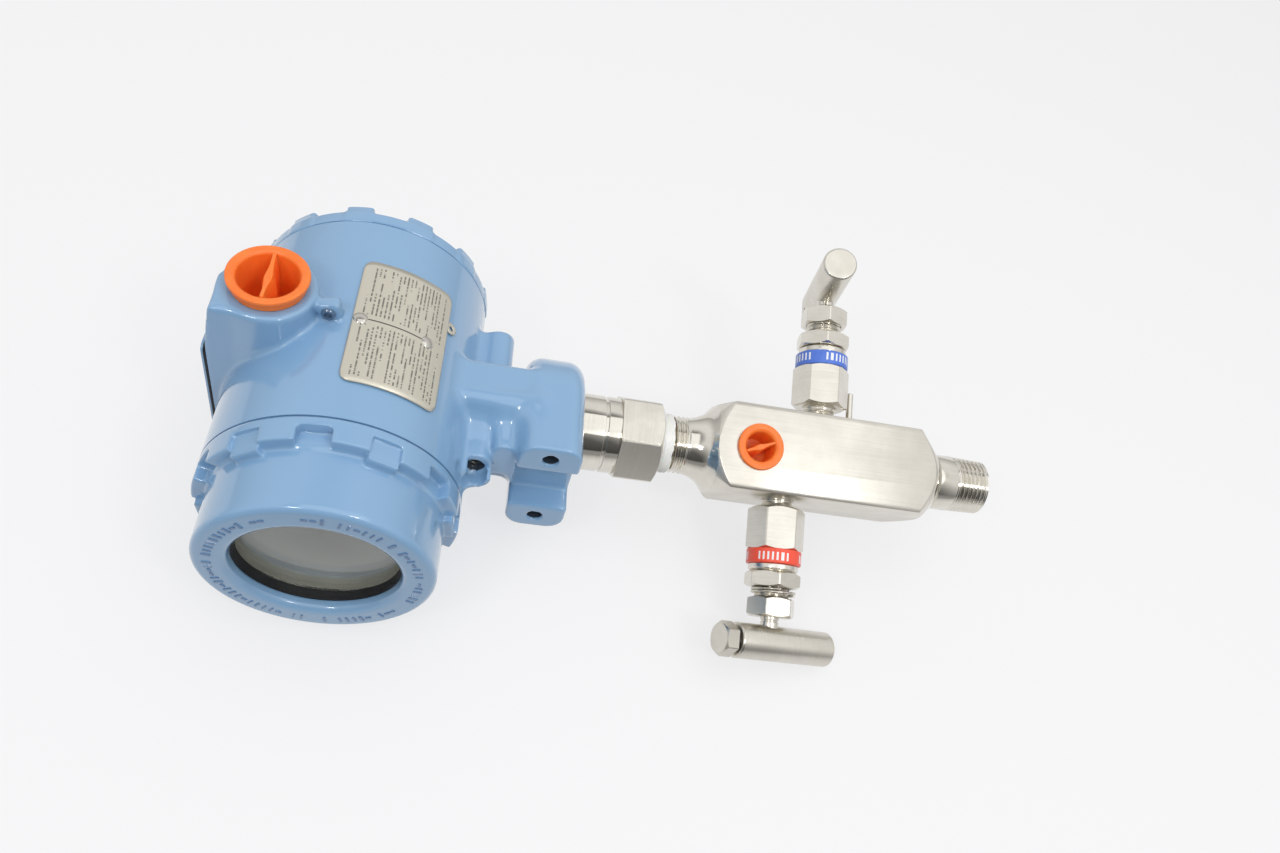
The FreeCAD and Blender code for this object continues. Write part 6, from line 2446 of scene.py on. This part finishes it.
@dataclass
class Studio:
    """Camera, pale table and soft light."""

    eye: Point = (278.163, -211.281, 206.12)
    right: Point = (0.23933, -0.00328, -0.97093)
    up: Point = (0.58714, 0.79692, 0.14204)
    back: Point = (0.77329, -0.60407, 0.19265)
    focal_px: float = 969.114
    image_width: float = 1280.0
    sensor: float = 36.0
    clip: Span = (0.01, 20.0)
    table_x: float = -42.0
    table_z: float = 140.0
    table_half: float = 1500.0
    table_glow: float = 0.7
    table_dimmed: Point = (-0.17, -0.06, 0.9)
    room_axis: Point = (0.15, -0.98, 0.1)
    lamps: tuple[Lamp, ...] = (
        Lamp("overhead", (1000.0, -190.0, 20.0), 1200.0, 4.4),
        Lamp("left", (684.0, -468.0, 560.0), 130.0, 0.9), Lamp("right", (684.0, -468.0, -160.0), 130.0, 0.9))
    lit_point: Point = (0.0, 0.0, 200.0)

    def build(self) -> None:
        """Makes everything round the object."""
        self.build_camera()
        self.build_table()
        self.build_world()
        for lamp in self.lamps:
            lamp.hang(self.lit_point)

    def build_camera(self) -> None:
        """Sets the camera where the photograph was taken from."""
        data = bpy.data.cameras.new("camera")
        data.sensor_width, data.sensor_fit = self.sensor, "HORIZONTAL"
        data.lens = self.focal_px * self.sensor / self.image_width
        data.clip_start, data.clip_end = self.clip
        axes = Matrix((self.right, self.up, self.back)).transposed().to_4x4()
        axes.translation = Vector(self.eye) * MM
        camera = linked("camera", data)
        camera.matrix_world = axes
        bpy.context.scene.camera = camera

    def build_table(self) -> None:
        """Lays the table, seen from its upper side only and dim in the steel's reflections."""
        half = self.table_half
        corners = [
            (self.table_x * MM, y * MM, (self.table_z + z) * MM)
            for y, z in ((-half, -half), (half, -half), (half, half), (-half, half))]
        data = bpy.data.meshes.new("table")
        data.from_pydata(corners, [], [(0, 1, 2, 3)])
        table = linked("table", data)
        paper = bpy.data.materials.new("table_paper")
        graph = Graph.blank(paper)
        path = graph.node("ShaderNodeLightPath").outputs
        start, end, share = self.table_dimmed
        away = graph.ramp(graph.split(Finish.place(graph))[1], start, end, share, 0.0)
        dim = graph.math("SUBTRACT", 1.0, graph.product(path["Is Glossy Ray"], away))
        lit = graph.node("ShaderNodeBsdfDiffuse", {"Color": srgb(232, 232, 233)})
        glow = graph.node("ShaderNodeEmission", {"Color": srgb(250, 250, 251), "Strength": dim})
        both = graph.node("ShaderNodeMixShader", {0: self.table_glow, 1: lit.outputs[0], 2: glow.outputs[0]})
        seen = graph.math("ADD", path["Is Camera Ray"], path["Is Glossy Ray"], True)
        seen = graph.math("ADD", seen, path["Is Transmission Ray"], True)
        upper = graph.math("SUBTRACT", 1.0, graph.node("ShaderNodeNewGeometry").outputs["Backfacing"])
        clear = graph.node("ShaderNodeBsdfTransparent")
        final = graph.node(
            "ShaderNodeMixShader", {0: graph.product(seen, upper), 1: clear.outputs[0], 2: both.outputs[0]})
        graph.node("ShaderNodeOutputMaterial", {"Surface": final.outputs[0]})
        data.materials.append(paper)

    def build_world(self) -> None:
        """Surrounds the object with soft light that is stronger from above the table."""
        world = bpy.data.worlds.new("studio")
        bpy.context.scene.world = world
        graph = Graph.blank(world)
        toward = graph.node("ShaderNodeTexCoord").outputs["Generated"]
        height, room = self.along(graph, toward, RIGHT), self.along(graph, toward, self.room_axis)
        path = graph.node("ShaderNodeLightPath").outputs
        mirror = graph.product(
            graph.ramp(height, 0.0, 0.5, 0.5, 0.95), graph.ramp(height, 0.78, 0.9, 1.0, 0.3),
            graph.ramp(room, 0.4, 0.9, 1.0, 0.14))
        level = graph.blend(path["Is Glossy Ray"], graph.ramp(height, -0.4, 0.8, 0.38, 0.70), mirror)
        seen = graph.math("ADD", path["Is Camera Ray"], path["Is Transmission Ray"], True)
        strength = graph.math("MAXIMUM", level, seen)
        sky = graph.node("ShaderNodeBackground", {"Color": srgb(251, 251, 251), "Strength": strength})
        graph.node("ShaderNodeOutputWorld", {"Surface": sky.outputs[0]})

    @staticmethod
    def along(graph: Graph, toward: Socket, axis: Point) -> Socket:
        """Returns how far a direction points along an axis."""
        dot = graph.node("ShaderNodeVectorMath", {0: toward, 1: axis}, operation="DOT_PRODUCT")
        return dot.outputs["Value"]


KEPT_NODES: dict[str, Finish] = {
    "window_gasket": Finishes.RUBBER,
    "window_retaining_ring": Finishes.RING,
    "front_cover_o_ring": Finishes.RUBBER,
    "rear_cover_o_ring": Finishes.RUBBER,
    "electronics_board": Finishes.BOARD,
    "board_standoffs": Finishes.HIDDEN_STEEL,
    "terminal_block": Finishes.TERMINAL,
    "terminal_screws": Finishes.HIDDEN_STEEL,
    "sensor_module": Finishes.HIDDEN_STEEL,
    "isolate_packing": Finishes.TAPE,
    "vent_packing": Finishes.TAPE,
    "isolate_stem_tip": Finishes.HIDDEN_STEEL,
    "vent_stem_tip": Finishes.HIDDEN_STEEL,
}


def valve_place(bar: Manifold, out: Array, stand: float, height: float) -> Place:
    """Returns the frame at the base of a valve's bonnet hexagon, which stands so far off the bar."""
    foot = out * (bar.width / 2.0 + stand) + np.array([0.0, 0.0, height])
    return Place(tuple(foot), tuple(out), tuple(bar.normal()))


def build_valves(bar: Manifold) -> None:
    """Makes both valves and the wire ring on the vent valve.

    Args:
        bar: The manifold that carries them.
    """
    isolate_stand, vent_stand = 6.1, 3.0
    isolate = Valve(
        "isolate", valve_place(bar, bar.cross(), isolate_stand, bar.valve_z[0]), isolate_stand,
        Body.ISOLATE_SPINDLE, Finishes.BLUE_BAND, Slot.BLUE_BAND, bonnet_turn=17.5, nut_turn=-11.5,
        gland_turn=-7.0, handle_turn=-11.6)
    vent = Valve(
        "vent", valve_place(bar, -bar.cross(), vent_stand, bar.valve_z[1]), vent_stand, Body.VENT_SPINDLE,
        Finishes.RED_BAND, Slot.RED_BAND, bonnet_turn=37.0, nut_turn=5.0, gland_turn=29.0, handle_turn=-108.0)
    isolate.build()
    vent.build()
    TagRing(vent.place, vent.levels()["thread"]).build()


def build_plugs(housing: Housing, bar: Manifold) -> None:
    """Makes the two orange plugs and the blanking plug.

    Args:
        housing: The housing with the conduit entries.
        bar: The manifold with the vent port.
    """
    end, middle, height = housing.conduit_half, housing.middle_y, housing.conduit_z
    Plug(
        "conduit_plug_cup", "conduit_plug", Body.CONDUIT_PLUG, Place((end, middle, height), RIGHT, BEHIND),
        cup_r=10.35, depth=15.0, flange_r=12.36, flange=(3.2, 4.6), neck_r=11.3, web=2.4).build()
    Plug(
        "port_plug_cup", "vent_port_plug", Body.PORT_PLUG, bar.out(bar.normal(), bar.width / 2.0,
        bar.port[0]), cup_r=6.55, depth=11.0, flange_r=8.5, flange=(0.08, 1.7), neck_r=7.0, web=1.8,
        web_turn=22.5).build()
    BlankingPlug(Place((-end, middle, height), LEFT, BEHIND)).build()


def main() -> None:
    """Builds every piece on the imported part."""
    logging.basicConfig(level=logging.INFO, format="%(name)s: %(message)s")
    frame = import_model()
    Studio().build()
    housing, bar = Housing(), Manifold()
    for assembly in (housing, FrontCover(), RearCover(), Window(), Plates(), bar, Connector()):
        assembly.build()
    build_valves(bar)
    build_plugs(housing, bar)
    for node, finish in KEPT_NODES.items():
        dressed(frame, node, finish)
    bpy.context.scene.view_settings.view_transform = "Standard"


if __name__ == "__main__":
    main()
